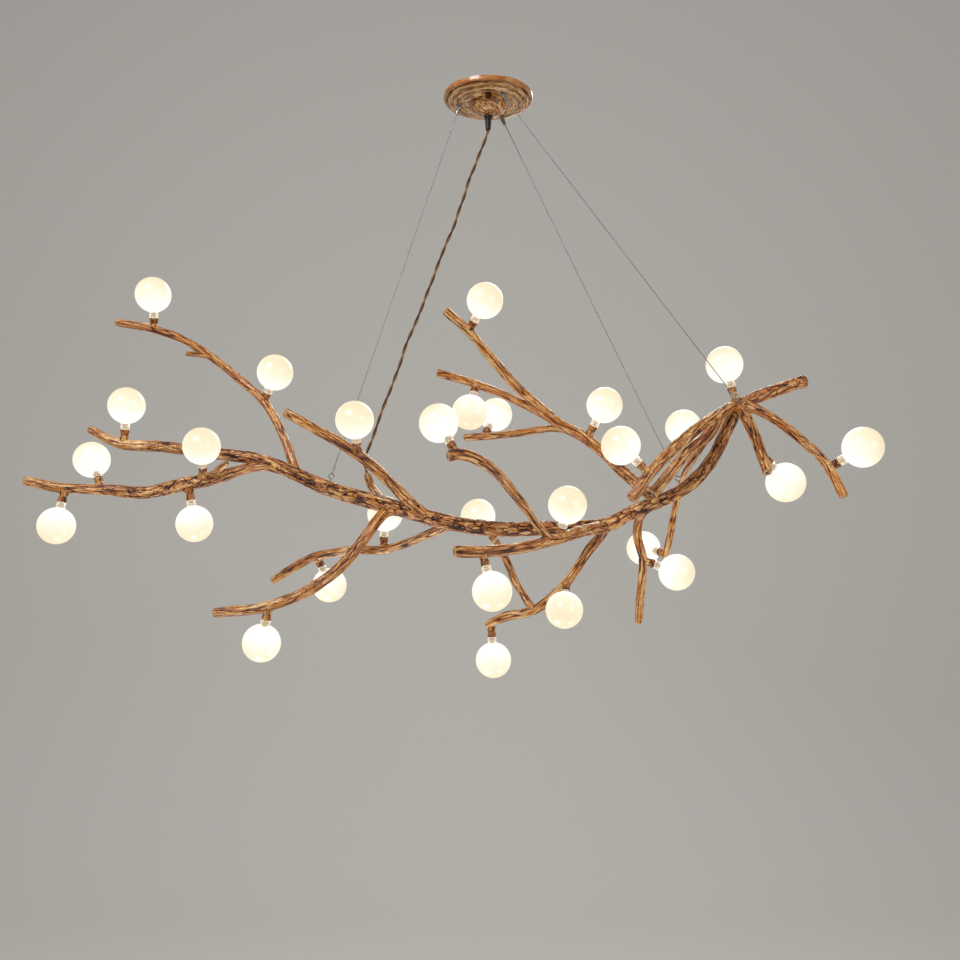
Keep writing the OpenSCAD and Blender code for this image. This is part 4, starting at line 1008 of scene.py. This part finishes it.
def lathe(profile, segments):
    """Points and faces of a shape turned round Z; its profile goes axis to axis or closes on itself."""
    points, rings = [], []
    for r, z in profile:
        if rings and (r, z) == profile[0]:
            rings.append(rings[0])
            continue
        count = 1 if r == 0 else segments
        rings.append(range(len(points), len(points) + count))
        points += [(r * math.cos(math.tau * i / count), r * math.sin(math.tau * i / count), z)
                   for i in range(count)]
    faces = []
    for a, b in zip(rings, rings[1:]):
        for i in range(segments):
            corners = [a[i % len(a)], a[(i + 1) % len(a)], b[(i + 1) % len(b)], b[i % len(b)]]
            faces.append(tuple(dict.fromkeys(corners)))
    return points, faces


cup_profile = [(0, 0), (5.3, 0), (5.9, 0.3)]
cup_profile += [(6.1 + 1.15 * share ** 0.7, 0.9 + 7.1 * share) for share in np.linspace(0, 1, 9)]
cup_profile += [
    (CUP_RIM_R / MM, 8.5), (7.25, 8.95), (6.9, CUP_H / MM), (6.4, 9.05), (CUP_BORE_R / MM, 8.7),
    (CUP_BORE_R / MM, CUP_FLOOR / MM), (0, CUP_FLOOR / MM)]
cup_points, cup_faces = lathe([(r * MM, z * MM) for r, z in cup_profile], CUP_SEGMENTS)
cup_mesh = bpy.data.meshes.new("cup")
cup_mesh.from_pydata(cup_points, [], cup_faces)
# The bore gets the marks of a sawn end's pith, so the resin paints it near black as painted shade inside the
# cup, and the dents stay off it.
shaded_bore = [1.0 if z > CUP_FLOOR - 0.1 * MM and math.hypot(x, y) < CUP_BORE_R + 0.1 * MM else 0.0
          for x, y, z in cup_points]
for name, value in (("pith", shaded_bore), ("sawn", shaded_bore), ("girth", [CUP_GIRTH] * len(cup_points))):
    cup_mesh.attributes.new(name, "FLOAT", "POINT").data.foreach_set("value", value)
one_cup = new_object("one cup", cup_mesh)

cup_tree, given = geometry_tree("cups on stubs", {
    "Cup": "Object", "Dent spacing": "Float", "Dent depth": "Float", "Finish": "Material"})
points = add(cup_tree, "GeometryNodeMeshToPoints", {"Mesh": given["Geometry"]})
facing = add(cup_tree, "GeometryNodeInputNamedAttribute", {"Name": "axis"}, data_type="FLOAT_VECTOR")
cups = add(cup_tree, "GeometryNodeInstanceOnPoints", {
    "Points": points,
    "Instance": add(cup_tree, "GeometryNodeObjectInfo", {"Object": given["Cup"]}).outputs["Geometry"],
    "Rotation": add(cup_tree, "FunctionNodeAlignRotationToVector", {"Vector": facing}, axis="Z")})
cups = add(cup_tree, "GeometryNodeRealizeInstances", {"Geometry": cups})
dents = add(cup_tree, "ShaderNodeTexNoise", {
    "Vector": add(cup_tree, "GeometryNodeInputPosition"),
    "Scale": add(cup_tree, "ShaderNodeMath", {0: 1.0, 1: given["Dent spacing"]}, operation="DIVIDE"),
    "Detail": 2.0})
dents = add(cup_tree, "ShaderNodeMath", {0: dents, 1: 0.5}, operation="SUBTRACT")
dents = add(cup_tree, "ShaderNodeMath", {0: dents, 1: given["Dent depth"]}, operation="MULTIPLY")
outside = add(cup_tree, "ShaderNodeMath", {
    0: 1.0, 1: add(cup_tree, "GeometryNodeInputNamedAttribute", {"Name": "pith"}, data_type="FLOAT")},
    operation="SUBTRACT")
dents = add(cup_tree, "ShaderNodeMath", {0: dents, 1: outside}, operation="MULTIPLY")
darker = add(cup_tree, "ShaderNodeMath", {0: dents, 1: CUP_STAIN}, operation="SUBTRACT")
for name, value, kind in (("dent", dents, "FLOAT"), ("relief", darker, "FLOAT"),
                          ("grain", add(cup_tree, "GeometryNodeInputPosition"), "FLOAT_VECTOR")):
    cups = add(cup_tree, "GeometryNodeStoreNamedAttribute", {"Geometry": cups, "Name": name, "Value": value},
               data_type=kind, domain="POINT")
dents = add(cup_tree, "GeometryNodeInputNamedAttribute", {"Name": "dent"}, data_type="FLOAT")
cups = add(cup_tree, "GeometryNodeSetPosition", {"Geometry": cups, "Offset": add(
    cup_tree, "ShaderNodeVectorMath", {
        0: add(cup_tree, "GeometryNodeInputNormal").outputs["Normal"], "Scale": dents}, operation="SCALE")})
cups = add(cup_tree, "GeometryNodeSetShadeSmooth", {"Geometry": cups})
cups = add(cup_tree, "GeometryNodeSetMaterial", {"Geometry": cups, "Material": given["Finish"]})
add(cup_tree, "NodeGroupOutput", {"Geometry": cups})

socket_mesh = bpy.data.meshes.new("socket places")
socket_mesh.from_pydata([tuple(base) for base, axis in sockets.values()], [], [])
socket_mesh.attributes.new("axis", "FLOAT_VECTOR", "POINT").data.foreach_set(
    "vector", [c for base, axis in sockets.values() for c in axis])
socket_points = new_object("socket places", socket_mesh)
shape_with(socket_points, cup_tree, {
    "Cup": one_cup, "Dent spacing": 4 * MM, "Dent depth": 2.2 * MM, "Finish": resin})
cups = new_object("socket_cups_stained", plain_mesh(socket_points, "socket_cups_stained"))
discard(socket_points, one_cup)
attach(cups, "fixture")
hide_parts("socket_cups")

# ---- Lamp holders ----
# Blocks of glazed steatite on the floors of the cups, each with two contact holes that take and
# hold a bulb's pins.
steatite = mottled("glazed steatite", 2 * MM, "#D5CDBA", "#E8E2D3", (0.3, 0.3), {"Coat Weight": 0.4})
finish_node("lamp_holders", steatite)

# ---- Globe bulbs ----
# Each bulb is a lit globe of opal glass on a clear glass neck. The neck is sealed on a ceramic
# base with two pins, and the lamp's beige stem shows in it.
# Sizes are in millimetres, with heights above the stub's end.
GLOBE_R = 30.0
GLOBE_MIDDLE = 48.65
NECK_R = 7.5
NECK_BORE_R = 6.3
NECK_BOTTOM = 9.4
FLARE_R = 1.3
BASE_R = 5.7
BASE_BOTTOM = 6.1
STEM_R = 4.3
STEM_TOP = 15.4
PIN_R = 0.4
PIN_LEN = 3.8
PIN_PITCH = 4.0
GLOBE_SEGMENTS = 56

# Opal glass, lit from inside: white at the lamp by the neck, and cream towards the far end
opal, tree = material("lit opal glass")
lit = add(tree, "ShaderNodeAttribute", attribute_name="lit").outputs["Fac"]
where = add(tree, "ShaderNodeTexCoord").outputs["Object"]
cloud = add(tree, "ShaderNodeTexNoise", {"Vector": where, "Scale": 1 / CLOUD_WIDTH, "Detail": 1.0})
uneven = add(tree, "ShaderNodeMath", {0: cloud, 1: 0.3, 2: lit}, operation="MULTIPLY_ADD")
ramp = add(tree, "ShaderNodeValToRGB", {0: uneven})
for place, code in ((0.15, "#F3DFB8"), (0.45, "#FAEBCB"), (0.72, "#FFFAE6"), (0.9, "#FFFFFA")):
    ramp.color_ramp.elements.new(place).color = paint(code)
ramp.color_ramp.elements.remove(ramp.color_ramp.elements[0])
ramp.color_ramp.elements.remove(ramp.color_ramp.elements[-1])
shader = add(tree, "ShaderNodeBsdfPrincipled", {
    "Base Color": paint("#8C8678"), "Roughness": 0.3, "Emission Color": ramp, "Emission Strength": 0.9,
    "Coat Weight": 0.3, "Coat Roughness": 0.1})
add(tree, "ShaderNodeOutputMaterial", {"Surface": shader})

# The neck's glass glows with the light that the globe sends down it
neck_glass, tree = material("lit clear glass")
shader = add(tree, "ShaderNodeBsdfPrincipled", {
    "Base Color": paint("#FFFBF0"), "Roughness": 0.05, "IOR": 1.46, "Transmission Weight": 0.95,
    "Emission Color": paint("#FFF3DC"), "Emission Strength": 0.12})
add(tree, "ShaderNodeOutputMaterial", {"Surface": shader})

stem = mottled("heat-tanned lamp stem", 2.5 * MM, "#6E4F2C", "#B8935C", (0.6, 0.6))
pin_steel = mottled("bright pin steel", 1.11 * MM, "#C9C7C2", "#C9C7C2", (0.2, 0.35), {"Metallic": 1.0})

neck_top = GLOBE_MIDDLE - math.sqrt(GLOBE_R ** 2 - (NECK_R + FLARE_R) ** 2)
globe_profile = [(0, neck_top - 1.2), (NECK_R - 0.3, neck_top - 1.2), (NECK_R + 0.1, neck_top - 1.0),
                 (NECK_R + 0.5, neck_top - 0.5)]
low = math.asin((NECK_R + FLARE_R) / GLOBE_R)
globe_profile += [(GLOBE_R * math.sin(a), GLOBE_MIDDLE - GLOBE_R * math.cos(a))
                  for a in np.linspace(low, math.pi, 34)[:-1]] + [(0, GLOBE_MIDDLE + GLOBE_R)]
glass_profile = [
    (BASE_R, NECK_BOTTOM), (NECK_R - 0.8, NECK_BOTTOM), (NECK_R - 0.2, NECK_BOTTOM + 0.3),
    (NECK_R, NECK_BOTTOM + 0.9), (NECK_R, neck_top - 1.3), (NECK_BORE_R, neck_top - 1.3),
    (NECK_BORE_R, NECK_BOTTOM + 1.6), (BASE_R, NECK_BOTTOM + 1.2), (BASE_R, NECK_BOTTOM)]
base_profile = [
    (0, BASE_BOTTOM), (BASE_R - 0.5, BASE_BOTTOM), (BASE_R - 0.05, BASE_BOTTOM + 0.4),
    (BASE_R - 0.05, NECK_BOTTOM + 1.2), (BASE_R - 0.6, NECK_BOTTOM + 1.5), (0, NECK_BOTTOM + 1.5)]
stem_profile = [
    (0, NECK_BOTTOM + 1.5), (STEM_R, NECK_BOTTOM + 1.5), (STEM_R, STEM_TOP - 0.4), (STEM_R - 0.4, STEM_TOP),
    (2.6, STEM_TOP), (2.6, neck_top - 1.2), (0, neck_top - 1.2)]

bulb_points, bulb_faces, bulb_parts, bulb_lit = [], [], [], []
pin_profile = [(0, BASE_BOTTOM - PIN_LEN), (PIN_R * 0.7, BASE_BOTTOM - PIN_LEN),
               (PIN_R, BASE_BOTTOM - PIN_LEN + 0.3), (PIN_R, BASE_BOTTOM + 0.5), (0, BASE_BOTTOM + 0.5)]
for number, (profile, segments, shift) in enumerate((
        (globe_profile, GLOBE_SEGMENTS, 0), (glass_profile, 40, 0), (stem_profile, 24, 0),
        (base_profile, 32, 0), (pin_profile, 10, -PIN_PITCH / 2), (pin_profile, 10, PIN_PITCH / 2))):
    points, faces = lathe(profile, segments)
    bulb_faces += [tuple(i + len(bulb_points) for i in f) for f in faces]
    bulb_points += [((x + shift) * MM, y * MM, z * MM) for x, y, z in points]
    bulb_parts += [min(number, 4)] * len(faces)
    bulb_lit += [1 - (z - neck_top) / (2 * GLOBE_R) for x, y, z in points]

for number in sorted(sockets):
    base, axis = sockets[number]
    name = "bulb_%02d" % number
    mesh = bpy.data.meshes.new(name + "_glass")
    mesh.from_pydata(bulb_points, [], bulb_faces)
    for finish in (opal, neck_glass, stem, steatite, pin_steel):
        mesh.materials.append(finish)
    mesh.polygons.foreach_set("material_index", bulb_parts)
    mesh.attributes.new("lit", "FLOAT", "POINT").data.foreach_set("value", bulb_lit)
    mesh.shade_smooth()
    mesh.transform(Matrix.Translation(base)
                   @ Matrix.Rotation(math.atan2(axis.y, axis.x), 4, "Z")
                   @ Matrix.Rotation(math.acos(axis.z), 4, "Y"))
    bulb = new_object(name + "_glass", mesh)
    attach(bulb, name)
    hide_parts(name)
